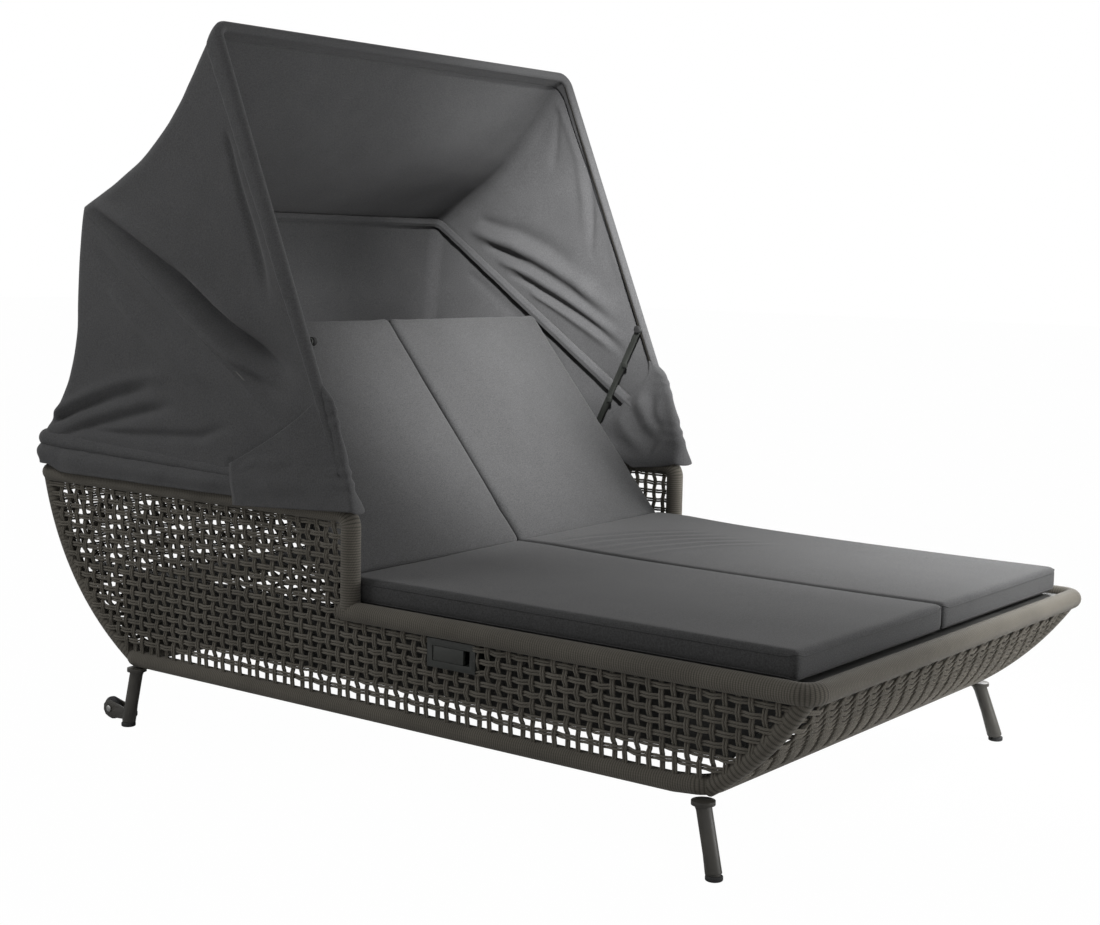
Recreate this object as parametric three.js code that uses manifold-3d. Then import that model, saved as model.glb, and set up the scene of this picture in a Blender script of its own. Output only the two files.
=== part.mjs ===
// An outdoor daybed for two with a folding canopy, in millimetres, +Z up, -Y towards the foot end.
// The origin is on the ground under the middle of the whole object.
import * as THREE from 'three';
import { mergeVertices } from 'three/addons/utils/BufferGeometryUtils.js';
import Module from 'manifold-3d';

const wasm = await Module();
wasm.setup();

// Fits shared by all pieces
const touchGap = 0.3;
const cutOverrun = 2;
const weldOverlap = 1;

// The rope-wrapped body
const bodyHalfWidth = 650;
const bodyFootReach = 1094;
const bodyHeadReach = 1094;
const lowRailTop = 397;
const highRailTop = 607;
const stepPlace = 21;
const baseSideInset = 18;
const baseFootInset = 216;
const baseHeadInset = 294;
const baseBottom = 140;
const footWallBow = 16;
const headWallBow = 56;
const topRailDiameter = 44;
const baseRailDiameter = 40;
const cornerTubeDiameter = 36;
const topCornerRadius = 30;
const baseCornerRadius = 30;
const postBendRadius = 45;
const endFrameStubLength = 90;
const railSides = 12;
const cornerSteps = 3;
const footWallSteps = 4;
const headWallSteps = 6;

// The open rope weave between the rails
const weaveThickness = 8;
const weaveStrandWidth = 22;
const sideSeatWindows = [12, 2];
const sideBackWindows = [8, 4];
const footWallWindows = [9, 3];
const headWallWindows = [9, 5];

// Legs, glides and transport wheels
const legDiameter = 30;
const legSideInset = 12;
const legSideSplay = 19;
const footLegInset = 28;
const footLegSplay = 40;
const headLegInset = 53;
const headLegSplay = 9;
const legPlateDiameter = 64;
const legPlateThickness = 8;
const glideDiameter = 34;
const glideHeight = 10;
const legSides = 14;
const wheelDiameter = 54;
const wheelWidth = 18;
const wheelBehindLeg = 60;
const wheelLift = 7;
const wheelHubClearance = 0.5;
const wheelShoulderShare = 0.8;
const wheelSides = 20;
const axleDiameter = 8;
const axleHeadDiameter = 15;
const axleHeadThickness = 3;
const cheekThickness = 3;
const cheekGap = 1.2;
const cheekWheelRadius = 21;
const cheekLegRadius = 13;
const cheekLegHeight = 30;

// The deck inside the body
const deckDrop = 15;
const slatThickness = 12;
const slatWidth = 62;
const slatCount = 12;
const deckFootInset = 32;
const bearerWidth = 20;
const bearerHeight = 16;
const bearerClearance = 1;
const sideBoardThickness = 8;
const sideBoardBottom = 222;
const beamSize = 30;
const hingeBeamInset = 58;
const restBeamInset = 40;

// Backrests and their hinge line
const backrestIncline = 50;
const hingePlace = 118;
const hingeDrop = 10;
const hingeRodDiameter = 12;
const hingeRodProud = 2;
const earThickness = 6;
const earRadius = 13;
const hingeClearance = 0.4;
const barrelDiameter = 24;
const barrelLength = 44;
const barrelClearance = 2;
const backrestMiddleGap = 12;
const backrestSideClearance = 7;
const backrestStart = 14;
const backrestLength = 684;
const backrestThickness = 20;
const backrestBarWidth = 30;
const backrestWindows = 6;
const holeSides = 12;

// Lockable gas springs, one under each backrest
const crankInset = 15;
const crankRadius = 90;
const crankThickness = 6;
const crankWidth = 20;
const crankPinDiameter = 10;
const crankPinLength = 22;
const cylinderDiameter = 22;
const cylinderLength = 280;
const cylinderEndWall = 12;
const cylinderBore = 11;
const rodDiameter = 10;
const rodEndClearance = 5;
const releaseHeadLength = 30;
const releaseHeadSize = 28;
const hangerThickness = 6;
const eyeThickness = 8;
const eyeClearance = 1;
const eyeWall = 7;
const eyeNeck = 14;

// Flush release handles in the side weave
const handleFootEnd = -309;
const handleHeadEnd = -181;
const handleHeight = 60;
const housingProud = 5;
const housingDepth = 40;
const housingWall = 3;
const housingRim = 14;
const paddleThickness = 7;
const paddleGap = 1;
const fingerSlotWidth = 16;
const paddlePinDiameter = 5;
const paddleTailLength = 22;
const paddleTailSize = 12;

// Cushions
const cushionMiddleGap = 4;
const cushionSideClearance = 3;
const seatCushionFootClearance = 2;
const seatCushionHingeGap = 34;
const seatCushionThickness = 62;
const backCushionThickness = 70;
const cushionCrown = 10;
const cushionDrawIn = 5;
const cushionEdgeDrop = 14;
const cushionCornerCut = 10;
const cushionRest = 0.5;
const backCushionStart = 32;
const backCushionLength = 672;
const cushionEdgePower = 8;
const cushionSteps = [6, 9, 2];

// Canopy hoops, fanned from one pivot on each side
const pivotInset = 3;
const pivotRise = 23;
const hoopTubeDiameter = 18;
const hoopInset = 8;
const hoopCornerRadius = 30;
const frontHoopAngle = 67.6;
const middleHoopAngle = 34.9;
const rearHoopAngle = 2.3;
const frontHoopReach = 1074;
const middleHoopReach = 1048;
const rearHoopReach = 1028;
const hoopTubeStart = 200;
const hoopTabOverlap = 16;
const hoopTabThickness = 4;
const hoopTabWidth = 18;
const hoopTabSpacing = 5;
const pivotPinDiameter = 10;
const pivotPinClearance = 0.6;
const pivotPlateThickness = 5;
const pivotFootLength = 34;
const pivotFootThickness = 4;
const pivotFootWidth = 24;
const hoopCornerSteps = 4;
const hoopSides = 12;

// Side stays that hold the front hoop up
const stayHoopDistance = 341;
const stayFootRun = 284;
const stayWidth = 16;
const stayThickness = 5;
const stayHoopClearance = 6;
const stayClipSize = 14;
const stayClipShares = [0.69, 0.38];
const stayEndRadius = 11;
const knobDiameter = 19;
const knobThickness = 9;
const knobStemDiameter = 8;

// Canopy cloth
const clothThickness = 2.5;
const clothStandOff = 13.8;
const clothStart = 40;
const clothSeamGap = 3;
const roofSag = 45;
const rearSag = 50;
const sideSag = 12;
const sideFoldDepth = 7;
const sideFolds = 2;
const clothLegSteps = 6;
const clothCornerSteps = 3;
const clothRoofSteps = 4;
const clothAcrossSteps = 8;
const skirtStandOff = 0.5;
const skirtRidgeRise = 69;
const skirtHemDrop = 13;
const headHemRise = 1;
const flapHemDrop = 34;
const flapFrontInset = 1;
const flapLength = 352;
const flapSeamRun = 8;
const hemRiseStart = 120;
const hemRiseEnd = 70;
const skirtFoldDepth = 5;
const skirtFolds = 7;
const skirtSideSteps = 21;
const skirtRows = 2;
const innerFlapDrop = 37;
const innerFlapFootLength = 146;
const innerFlapTopLength = 210;
const innerFlapRise = 105;
const innerFlapStandOff = 0.5;
const innerFlapKneeRise = 43;
const innerFlapSteps = [4, 5];

// Colours
const finishes = {
  rope: { color: 0x625c52, roughness: 0.9, metalness: 0 },
  frame: { color: 0x3d3a34, roughness: 0.5, metalness: 0.6 },
  deck: { color: 0x4a4a48, roughness: 0.55, metalness: 0.5 },
  steel: { color: 0x9a9a98, roughness: 0.35, metalness: 0.9 },
  plastic: { color: 0x2c2e2a, roughness: 0.6, metalness: 0 },
  rubber: { color: 0x1f1f1e, roughness: 0.85, metalness: 0 },
  cushion: { color: 0x505052, roughness: 0.95, metalness: 0 },
  cloth: { color: 0x464648, roughness: 0.9, metalness: 0 },
};

const daybed = new THREE.Group();

function piece(name, geometry, finish, parent = daybed) {
  const mesh = new THREE.Mesh(geometry, new THREE.MeshStandardMaterial(finishes[finish]));
  mesh.name = name;
  parent.add(mesh);
  return mesh;
}

// Turns every triangle of a geometry seen in a mirror back to face outwards
function mirrored(geometry) {
  const flat = geometry.index ? geometry.toNonIndexed() : geometry.clone();
  const place = flat.attributes.position;
  for (let corner = 0; corner < place.count; corner += 3) {
    const second = new THREE.Vector3().fromBufferAttribute(place, corner + 1);
    const third = new THREE.Vector3().fromBufferAttribute(place, corner + 2);
    place.setXYZ(corner + 1, third.x, third.y, third.z);
    place.setXYZ(corner + 2, second.x, second.y, second.z);
  }
  flat.scale(-1, 1, 1);
  flat.computeVertexNormals();
  return flat;
}

// Adds the piece made for the +X side and its mirror image on the -X side
function pair(name, geometry, finish, parentRight = daybed, parentLeft = parentRight) {
  piece(`${name}_right`, geometry, finish, parentRight);
  piece(`${name}_left`, mirrored(geometry), finish, parentLeft);
}

function toSolid(geometry) {
  const bare = geometry.clone();
  bare.deleteAttribute('normal');
  bare.deleteAttribute('uv');
  const merged = mergeVertices(bare);
  const vertProperties = new Float32Array(merged.attributes.position.array);
  const triVerts = new Uint32Array(merged.index.array);
  return new wasm.Manifold(new wasm.Mesh({ numProp: 3, vertProperties, triVerts }));
}

function toGeometry(solid) {
  const result = solid.getMesh();
  const geometry = new THREE.BufferGeometry();
  geometry.setAttribute('position', new THREE.BufferAttribute(result.vertProperties, 3));
  geometry.setIndex(new THREE.BufferAttribute(result.triVerts, 1));
  geometry.computeVertexNormals();
  return geometry;
}

function welded(...geometries) {
  return toGeometry(geometries.map(toSolid).reduce((whole, part) => whole.add(part)));
}

function cutBy(geometry, ...tools) {
  return toGeometry(tools.map(toSolid).reduce((rest, tool) => rest.subtract(tool), toSolid(geometry)));
}

// A path that ExtrudeGeometry follows exactly from one chosen station to the next
class StationPath extends THREE.Curve {
  constructor(stations) {
    super();
    this.stations = stations;
  }

  getPointAt(share) {
    return this.stations[Math.round(share * (this.stations.length - 1))].clone();
  }

  getTangentAt(share) {
    const last = this.stations.length - 1;
    const here = Math.round(share * last);
    const tangent = new THREE.Vector3();
    if (here > 0) {
      tangent.add(this.stations[here].clone().sub(this.stations[here - 1]).normalize());
    }
    if (here < last) {
      tangent.add(this.stations[here + 1].clone().sub(this.stations[here]).normalize());
    }
    return tangent.normalize();
  }
}

// A round section whose flats lie at the radius
function roundSection(radius, sides) {
  const shape = new THREE.Shape();
  const corner = radius / Math.cos(Math.PI / sides);
  for (let side = 0; side < sides; side += 1) {
    const turn = (side + 0.5) * 2 * Math.PI / sides;
    const point = [corner * Math.cos(turn), corner * Math.sin(turn)];
    if (side === 0) {
      shape.moveTo(...point);
    } else {
      shape.lineTo(...point);
    }
  }
  shape.closePath();
  return shape;
}

function tubeThrough(stations, diameter, sides = railSides) {
  return new THREE.ExtrudeGeometry(roundSection(diameter / 2, sides), {
    steps: stations.length - 1,
    extrudePath: new StationPath(stations),
  });
}

function rod(from, to, diameter, sides = railSides) {
  return tubeThrough([from, to], diameter, sides);
}

function at(x, y, z) {
  return new THREE.Vector3(x, y, z);
}

function block(low, high) {
  const size = high.clone().sub(low);
  const geometry = new THREE.BoxGeometry(size.x, size.y, size.z);
  geometry.translate((low.x + high.x) / 2, (low.y + high.y) / 2, (low.z + high.z) / 2);
  return geometry;
}

// Stations along straight runs with each inner corner turned on its radius
function roundedRun(corners, radius, steps = cornerSteps) {
  const stations = [corners[0]];
  for (let index = 1; index < corners.length - 1; index += 1) {
    const inward = corners[index].clone().sub(corners[index - 1]).normalize();
    const outward = corners[index + 1].clone().sub(corners[index]).normalize();
    const turn = inward.angleTo(outward);
    const reach = radius * Math.tan(turn / 2);
    const start = corners[index].clone().addScaledVector(inward, -reach);
    const side = outward.clone().addScaledVector(inward, -outward.dot(inward)).normalize();
    const centre = start.clone().addScaledVector(side, radius);
    for (let step = 0; step <= steps; step += 1) {
      const angle = turn * step / steps;
      stations.push(centre.clone()
        .addScaledVector(side, -radius * Math.cos(angle))
        .addScaledVector(inward, radius * Math.sin(angle)));
    }
  }
  stations.push(corners[corners.length - 1]);
  return stations;
}

// A flat plate in the YZ plane between two X places, from a shape drawn as (y, z)
function sidePlate(shape, fromX, toX) {
  const geometry = new THREE.ExtrudeGeometry(shape, { depth: toX - fromX, bevelEnabled: false });
  geometry.rotateX(Math.PI / 2);
  geometry.rotateZ(Math.PI / 2);
  geometry.translate(fromX, 0, 0);
  return geometry;
}

// A plate outline with round ends on two centres given as [y, z]
function slotOutline(first, second, firstRadius, secondRadius = firstRadius, ends = 5) {
  const along = Math.atan2(second[1] - first[1], second[0] - first[0]);
  const points = [];
  for (let step = 0; step <= ends; step += 1) {
    const turn = along - Math.PI / 2 + Math.PI * step / ends;
    points.push(new THREE.Vector2(second[0] + secondRadius * Math.cos(turn),
      second[1] + secondRadius * Math.sin(turn)));
  }
  for (let step = 0; step <= ends; step += 1) {
    const turn = along + Math.PI / 2 + Math.PI * step / ends;
    points.push(new THREE.Vector2(first[0] + firstRadius * Math.cos(turn),
      first[1] + firstRadius * Math.sin(turn)));
  }
  return new THREE.Shape(points);
}

// Places worked out from the driving dimensions
const topRailX = bodyHalfWidth - topRailDiameter / 2;
const lowRailZ = lowRailTop - topRailDiameter / 2;
const highRailZ = highRailTop - topRailDiameter / 2;
const footRailY = -bodyFootReach + topRailDiameter / 2;
const headRailY = bodyHeadReach - topRailDiameter / 2;
const baseHalfWidth = bodyHalfWidth - baseSideInset;
const baseFootReach = bodyFootReach - baseFootInset;
const baseHeadReach = bodyHeadReach - baseHeadInset;
const baseRailX = baseHalfWidth - baseRailDiameter / 2;
const baseRailZ = baseBottom + baseRailDiameter / 2;
const baseFootY = -baseFootReach + baseRailDiameter / 2;
const baseHeadY = baseHeadReach - baseRailDiameter / 2;
const legTopX = baseHalfWidth - legSideInset;
const legFootX = legTopX + legSideSplay;
const footLegTopY = -baseFootReach + footLegInset;
const footLegY = footLegTopY - footLegSplay;
const headLegTopY = baseHeadReach - headLegInset;
const headLegY = headLegTopY + headLegSplay;
const postY = stepPlace + topRailDiameter / 2;
const railInnerX = topRailX - topRailDiameter / 2;
const deckTop = lowRailTop - deckDrop;
const slatBottom = deckTop - slatThickness;
const bearerBottom = slatBottom - bearerHeight;
const bearerSpread = railInnerX - bearerClearance - bearerWidth / 2;
const hingeHeight = deckTop - hingeDrop;
const deckHeadEnd = hingePlace - barrelDiameter / 2 - barrelClearance;
const hingeBeamPlace = hingePlace - hingeBeamInset;
const restBeamPlace = hingePlace + backrestLength - restBeamInset;
const backrestInner = backrestMiddleGap / 2;
const backrestOuter = bearerSpread - bearerWidth / 2 - backrestSideClearance;
const springSpread = backrestOuter - crankInset;
const cushionHalfWidth = railInnerX - cushionSideClearance;
const cushionWidth = cushionHalfWidth - cushionMiddleGap / 2;
const handleTop = lowRailZ - topRailDiameter / 2 - touchGap;
const handleBottom = handleTop - handleHeight;
const pivotPlace = postY - pivotInset;
const pivotHeight = highRailTop + pivotRise;
const hoopHalfWidth = bodyHalfWidth - hoopInset;
const cornerInset = 1 - Math.SQRT1_2;
const topCornerX = topRailX - topCornerRadius * cornerInset;
const baseCornerX = baseRailX - baseCornerRadius * cornerInset;

// The head wall's line in Y and Z: 0 at the base rail and 1 at the high rail, bowed outwards
function headWallPoint(share) {
  const lowY = baseHeadY - baseCornerRadius * cornerInset;
  const highY = headRailY - topCornerRadius * cornerInset;
  return wallPoint([lowY, baseRailZ], [highY, highRailZ], share, headWallBow);
}

// The foot wall's line, from the base rail up to the low rail, bowed outwards too
function footWallPoint(share) {
  const lowY = baseFootY + baseCornerRadius * cornerInset;
  const highY = footRailY + topCornerRadius * cornerInset;
  return wallPoint([lowY, baseRailZ], [highY, lowRailZ], share, -footWallBow);
}

function wallPoint(low, high, share, bow) {
  const run = high[0] - low[0];
  const rise = high[1] - low[1];
  const length = Math.hypot(run, rise);
  const out = bow * 4 * share * (1 - share);
  return [low[0] + run * share + out * rise / length, low[1] + rise * share - out * run / length];
}

// The share up an end wall at a given height
function wallShareAt(wall, height) {
  let low = 0;
  let high = 1;
  while (high - low > Number.EPSILON * 4) {
    const middle = (low + high) / 2;
    if (wall(middle)[1] < height) {
      low = middle;
    } else {
      high = middle;
    }
  }
  return (low + high) / 2;
}

function cornerX(share) {
  return baseCornerX + (topCornerX - baseCornerX) * share;
}

// One rounded end of the body: its top rail, its base rail and the two corner tubes
function endFrame(topY, topZ, baseY, toMiddle, cornerStations) {
  const topRail = tubeThrough(roundedRun([
    at(-topRailX, topY + toMiddle * endFrameStubLength, topZ), at(-topRailX, topY, topZ),
    at(topRailX, topY, topZ), at(topRailX, topY + toMiddle * endFrameStubLength, topZ),
  ], topCornerRadius), topRailDiameter);
  const baseRail = tubeThrough(roundedRun([
    at(-baseRailX, baseY + toMiddle * endFrameStubLength, baseRailZ), at(-baseRailX, baseY, baseRailZ),
    at(baseRailX, baseY, baseRailZ), at(baseRailX, baseY + toMiddle * endFrameStubLength, baseRailZ),
  ], baseCornerRadius), baseRailDiameter);
  const corner = tubeThrough(cornerStations, cornerTubeDiameter);
  return welded(topRail, baseRail, corner, mirrored(corner));
}

function cornerLine(wall, steps) {
  const stations = [];
  for (let step = 0; step <= steps; step += 1) {
    const [y, z] = wall(step / steps);
    stations.push(at(cornerX(step / steps), y, z));
  }
  return stations;
}

function addBodyFrame() {
  piece('foot_frame', endFrame(footRailY, lowRailZ, baseFootY, 1, cornerLine(footWallPoint, footWallSteps)),
    'rope');
  piece('head_frame',
    endFrame(headRailY, highRailZ, baseHeadY, -1, cornerLine(headWallPoint, headWallSteps)), 'rope');

  const footJoint = footRailY + endFrameStubLength + touchGap;
  const seatRail = rod(at(topRailX, footJoint, lowRailZ),
    at(topRailX, postY + topRailDiameter / 2, lowRailZ), topRailDiameter);
  pair('seat_rail', seatRail, 'rope');

  const baseRail = rod(at(baseRailX, baseFootY + endFrameStubLength + touchGap, baseRailZ),
    at(baseRailX, baseHeadY - endFrameStubLength - touchGap, baseRailZ), baseRailDiameter);
  pair('base_rail', baseRail, 'rope');

  pair('back_rail', backRailGeometry(topRailDiameter), 'rope');
}

// The high rail runs forwards from the head and turns down into the post that stands on the low rail
function backRailGeometry(diameter) {
  return tubeThrough(roundedRun([
    at(topRailX, headRailY - endFrameStubLength - touchGap, highRailZ), at(topRailX, postY, highRailZ),
    at(topRailX, postY, lowRailTop + touchGap),
  ], postBendRadius), diameter);
}

// A net of strands: the sheet is divided into strands and gaps both ways, and the gaps stay open
function netGeometry([columns, rows], [width, height], place) {
  const edges = (gaps, length) => {
    const strand = weaveStrandWidth / length;
    const gap = (1 - strand * (gaps + 1)) / gaps;
    const list = [0];
    for (let band = 0; band < 2 * gaps + 1; band += 1) {
      list.push(list[band] + (band % 2 === 0 ? strand : gap));
    }
    return list;
  };
  const across = edges(columns, width);
  const up = edges(rows, height);
  const positions = [];
  const open = (column, row) => column < 0 || row < 0 || column > 2 * columns || row > 2 * rows
    || (column % 2 === 1 && row % 2 === 1);
  const corner = (column, row, side) => place(across[column], up[row], side * weaveThickness / 2);
  const quad = (...corners) => {
    for (const index of [0, 1, 2, 0, 2, 3]) {
      positions.push(...corners[index].toArray());
    }
  };
  for (let column = 0; column <= 2 * columns; column += 1) {
    for (let row = 0; row <= 2 * rows; row += 1) {
      if (!open(column, row)) {
        const ring = [[column, row], [column + 1, row], [column + 1, row + 1], [column, row + 1]];
        const front = ring.map(([c, r]) => corner(c, r, 1));
        const back = ring.map(([c, r]) => corner(c, r, -1));
        quad(...front);
        quad(...back.slice().reverse());
        const beyond = [[column, row - 1], [column + 1, row], [column, row + 1], [column - 1, row]];
        beyond.forEach(([c, r], edge) => {
          if (open(c, r)) {
            const next = (edge + 1) % 4;
            quad(back[edge], back[next], front[next], front[edge]);
          }
        });
      }
    }
  }
  const geometry = new THREE.BufferGeometry();
  geometry.setAttribute('position', new THREE.Float32BufferAttribute(positions, 3));
  geometry.computeVertexNormals();
  return geometry;
}

// The X place of the side weave at a height, in line with the rails above and below it
function sideWeaveX(height, upperRailZ) {
  return baseRailX + (topRailX - baseRailX) * (height - baseRailZ) / (upperRailZ - baseRailZ);
}

function footEdgeY(height) {
  const [y] = footWallPoint(wallShareAt(footWallPoint, height));
  return y + (cornerTubeDiameter / 2 + weaveThickness) * Math.SQRT2;
}

function headEdgeY(height) {
  const [y] = headWallPoint(wallShareAt(headWallPoint, height));
  return y - (cornerTubeDiameter / 2 + weaveThickness) * Math.SQRT2;
}

function addSideWeave() {
  const low = baseRailZ + baseRailDiameter / 2 + touchGap;
  const seatTop = lowRailZ - topRailDiameter / 2 - touchGap;
  const backTop = highRailZ - topRailDiameter / 2 - touchGap;
  const split = postY + topRailDiameter / 2 + touchGap;
  const seatNet = netGeometry(sideSeatWindows, [split - footEdgeY(seatTop), seatTop - low], (u, v, off) => {
    const z = low + (seatTop - low) * v;
    const y = footEdgeY(z) + (split - footEdgeY(z)) * u;
    return at(sideWeaveX(z, lowRailZ) + off, y, z);
  });
  const handleRoom = block(
    at(baseRailX - housingDepth, handleFootEnd - touchGap, handleBottom - touchGap),
    at(bodyHalfWidth, handleHeadEnd + touchGap, handleTop + touchGap));
  pair('side_weave_seat', cutBy(seatNet, handleRoom), 'rope');

  const headNet = netGeometry(sideBackWindows, [headEdgeY(backTop) - split, backTop - low], (u, v, off) => {
    const z = low + (backTop - low) * v;
    const y = split + touchGap + (headEdgeY(z) - split - touchGap) * u;
    return at(sideWeaveX(z, highRailZ) + off, y, z);
  });
  pair('side_weave_back', cutBy(headNet, backRailGeometry(topRailDiameter + 2 * touchGap)), 'rope');
}

// From a rail's centre to just past its edges
function clearOfRail(diameter) {
  return diameter / 2 / Math.cos(Math.PI / railSides) + touchGap;
}

// An end wall's weave hangs between its two rails, along their straight middle stretch
function endWallNet(gaps, low, high, bow, outward) {
  const reach = Math.hypot(high[0] - low[0], high[1] - low[1]);
  const along = Math.hypot(reach, 4 * bow);
  const baseClear = clearOfRail(baseRailDiameter) / along;
  const topClear = clearOfRail(topRailDiameter) / along;
  const baseHalf = baseRailX - baseCornerRadius;
  const topHalf = topRailX - topCornerRadius;
  return netGeometry(gaps, [2 * baseHalf, reach], (u, v, off) => {
    const share = baseClear + (1 - topClear - baseClear) * v;
    const [y, z] = wallPoint(low, high, share, bow);
    const [nextY, nextZ] = wallPoint(low, high, share + topClear / 2, bow);
    const length = Math.hypot(nextY - y, nextZ - z);
    const x = (baseHalf + (topHalf - baseHalf) * share) * (1 - 2 * u) * outward;
    return at(x, y + outward * off * (nextZ - z) / length, z - outward * off * (nextY - y) / length);
  });
}

function addEndWeave() {
  piece('foot_weave', endWallNet(footWallWindows, [baseFootY, baseRailZ], [footRailY, lowRailZ],
    -footWallBow, -1), 'rope');
  piece('head_weave',
    endWallNet(headWallWindows, [baseHeadY, baseRailZ], [headRailY, highRailZ], headWallBow, 1), 'rope');
}

const plateTop = baseBottom - touchGap;
const plateBottom = plateTop - legPlateThickness;

// A leg: its round top plate under the base corner and the splayed tube, cut level above its glide
function legParts(topY, footY) {
  const plate = rod(at(legTopX, topY, plateBottom), at(legTopX, topY, plateTop), legPlateDiameter, 2 * legSides);
  const top = at(legTopX, topY, plateBottom + weldOverlap);
  const foot = at(legFootX, footY, 0);
  const below = foot.clone().lerp(top, -legDiameter / top.z);
  return [plate, rod(top, below, legDiameter, legSides)];
}

function levelFoot(geometry) {
  return cutBy(geometry, block(at(0, -2 * bodyFootReach, -bodyHalfWidth),
    at(2 * bodyHalfWidth, 2 * bodyHeadReach, glideHeight)));
}

const wheelX = legFootX + (legTopX - legFootX) * cheekLegHeight / plateBottom;
const wheelY = headLegY + wheelBehindLeg;
const wheelZ = wheelLift + wheelDiameter / 2;
const cheekInner = wheelWidth / 2 + cheekGap;

function wheelFork() {
  const outline = slotOutline([headLegY, cheekLegHeight], [wheelY, wheelZ], cheekLegRadius, cheekWheelRadius);
  return [-cheekInner - cheekThickness, cheekInner].map((offset) => sidePlate(
    outline, wheelX + offset, wheelX + offset + cheekThickness));
}

function axleLine(reach, diameter) {
  return rodAlongX(wheelX - reach, wheelX + reach, wheelY, wheelZ, diameter);
}

function addLegs() {
  pair('foot_leg', levelFoot(welded(...legParts(footLegTopY, footLegY))), 'frame');
  const headLeg = welded(...legParts(headLegTopY, headLegY), ...wheelFork());
  pair('head_leg', levelFoot(cutBy(headLeg,
    axleLine(cheekInner + cheekThickness + cutOverrun, axleDiameter + 2 * touchGap))), 'frame');

  const glide = (y) => rod(at(legFootX, y, 0), at(legFootX, y, glideHeight - touchGap), glideDiameter, legSides);
  pair('foot_glide', glide(footLegY), 'rubber');
  pair('head_glide', glide(headLegY), 'rubber');
}

function addWheels() {
  const radius = wheelDiameter / 2;
  const half = wheelWidth / 2;
  const bore = axleDiameter / 2 + wheelHubClearance;
  const shoulder = radius * wheelShoulderShare;
  const profile = [
    new THREE.Vector2(bore, -half), new THREE.Vector2(shoulder, -half),
    new THREE.Vector2(radius, -half / 2), new THREE.Vector2(radius, half / 2),
    new THREE.Vector2(shoulder, half), new THREE.Vector2(bore, half),
    new THREE.Vector2(bore, -half),
  ];
  const wheel = new THREE.LatheGeometry(profile, wheelSides);
  wheel.rotateZ(-Math.PI / 2);
  wheel.translate(wheelX, wheelY, wheelZ);
  pair('wheel', wheel, 'rubber');

  const cheekOuter = cheekInner + cheekThickness + touchGap;
  const headEnd = cheekOuter + axleHeadThickness;
  const heads = [-1, 1].map((side) => rodAlongX(wheelX + Math.min(side * cheekOuter, side * headEnd),
    wheelX + Math.max(side * cheekOuter, side * headEnd), wheelY, wheelZ, axleHeadDiameter));
  pair('wheel_axle', welded(axleLine(headEnd, axleDiameter - touchGap), ...heads), 'steel');
}

const barrelPlaces = [backrestInner + barrelLength, springSpread - crankWidth - barrelLength / 2];
const earPlaces = barrelPlaces.map((place) => place + (barrelLength + earThickness) / 2 + hingeClearance);

function rodAlongX(fromX, toX, y, z, diameter) {
  return rod(at(fromX, y, z), at(toX, y, z), diameter, holeSides);
}

function hingeBore(y, z) {
  return rodAlongX(-bodyHalfWidth, bodyHalfWidth, y, z, hingeRodDiameter + 2 * hingeClearance);
}

// The deck: seat slats on two bearers with side boards below, the beam with the hinge ears and the beam under
// the flat backrests
function addDeck() {
  const footStart = footRailY + deckFootInset;
  const pitch = (deckHeadEnd - slatWidth - footStart) / (slatCount - 1);
  const parts = [];
  for (let slat = 0; slat < slatCount; slat += 1) {
    const y = footStart + pitch * slat;
    const half = slat === slatCount - 1 ? bearerSpread : railInnerX - touchGap;
    parts.push(block(at(-half, y, slatBottom), at(half, y + slatWidth, deckTop)));
  }
  for (const place of [hingeBeamPlace, restBeamPlace]) {
    const top = bearerBottom + weldOverlap;
    parts.push(block(at(-bearerSpread, place - beamSize / 2, top - beamSize),
      at(bearerSpread, place + beamSize / 2, top)));
  }
  for (const side of [-1, 1]) {
    const middle = side * bearerSpread;
    parts.push(block(at(middle - bearerWidth / 2, footEdgeY(bearerBottom), bearerBottom),
      at(middle + bearerWidth / 2, headEdgeY(bearerBottom), slatBottom + weldOverlap)));
    const boardInner = side * (bearerSpread - bearerWidth / 2);
    const boardOuter = boardInner + side * sideBoardThickness;
    parts.push(block(at(Math.min(boardInner, boardOuter), footEdgeY(sideBoardBottom), sideBoardBottom),
      at(Math.max(boardInner, boardOuter), headEdgeY(sideBoardBottom), bearerBottom + weldOverlap)));
    for (const place of earPlaces) {
      const outline = slotOutline([hingeBeamPlace, bearerBottom - beamSize / 2], [hingePlace, hingeHeight],
        earRadius);
      parts.push(sidePlate(outline, side * place - earThickness / 2, side * place + earThickness / 2));
    }
  }
  piece('deck_frame', cutBy(welded(...parts), hingeBore(hingePlace, hingeHeight)), 'deck');
  const rodHalfLength = backrestOuter + hingeRodProud;
  piece('hinge_rod', rodAlongX(-rodHalfLength, rodHalfLength, hingePlace, hingeHeight, hingeRodDiameter),
    'steel');
}

// A backrest lies along its own +Y from the hinge, and its group is turned up to the incline
function backrestGroup() {
  const group = new THREE.Group();
  group.position.set(0, hingePlace, hingeHeight);
  group.rotation.x = THREE.MathUtils.degToRad(backrestIncline);
  daybed.add(group);
  return group;
}

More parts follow.
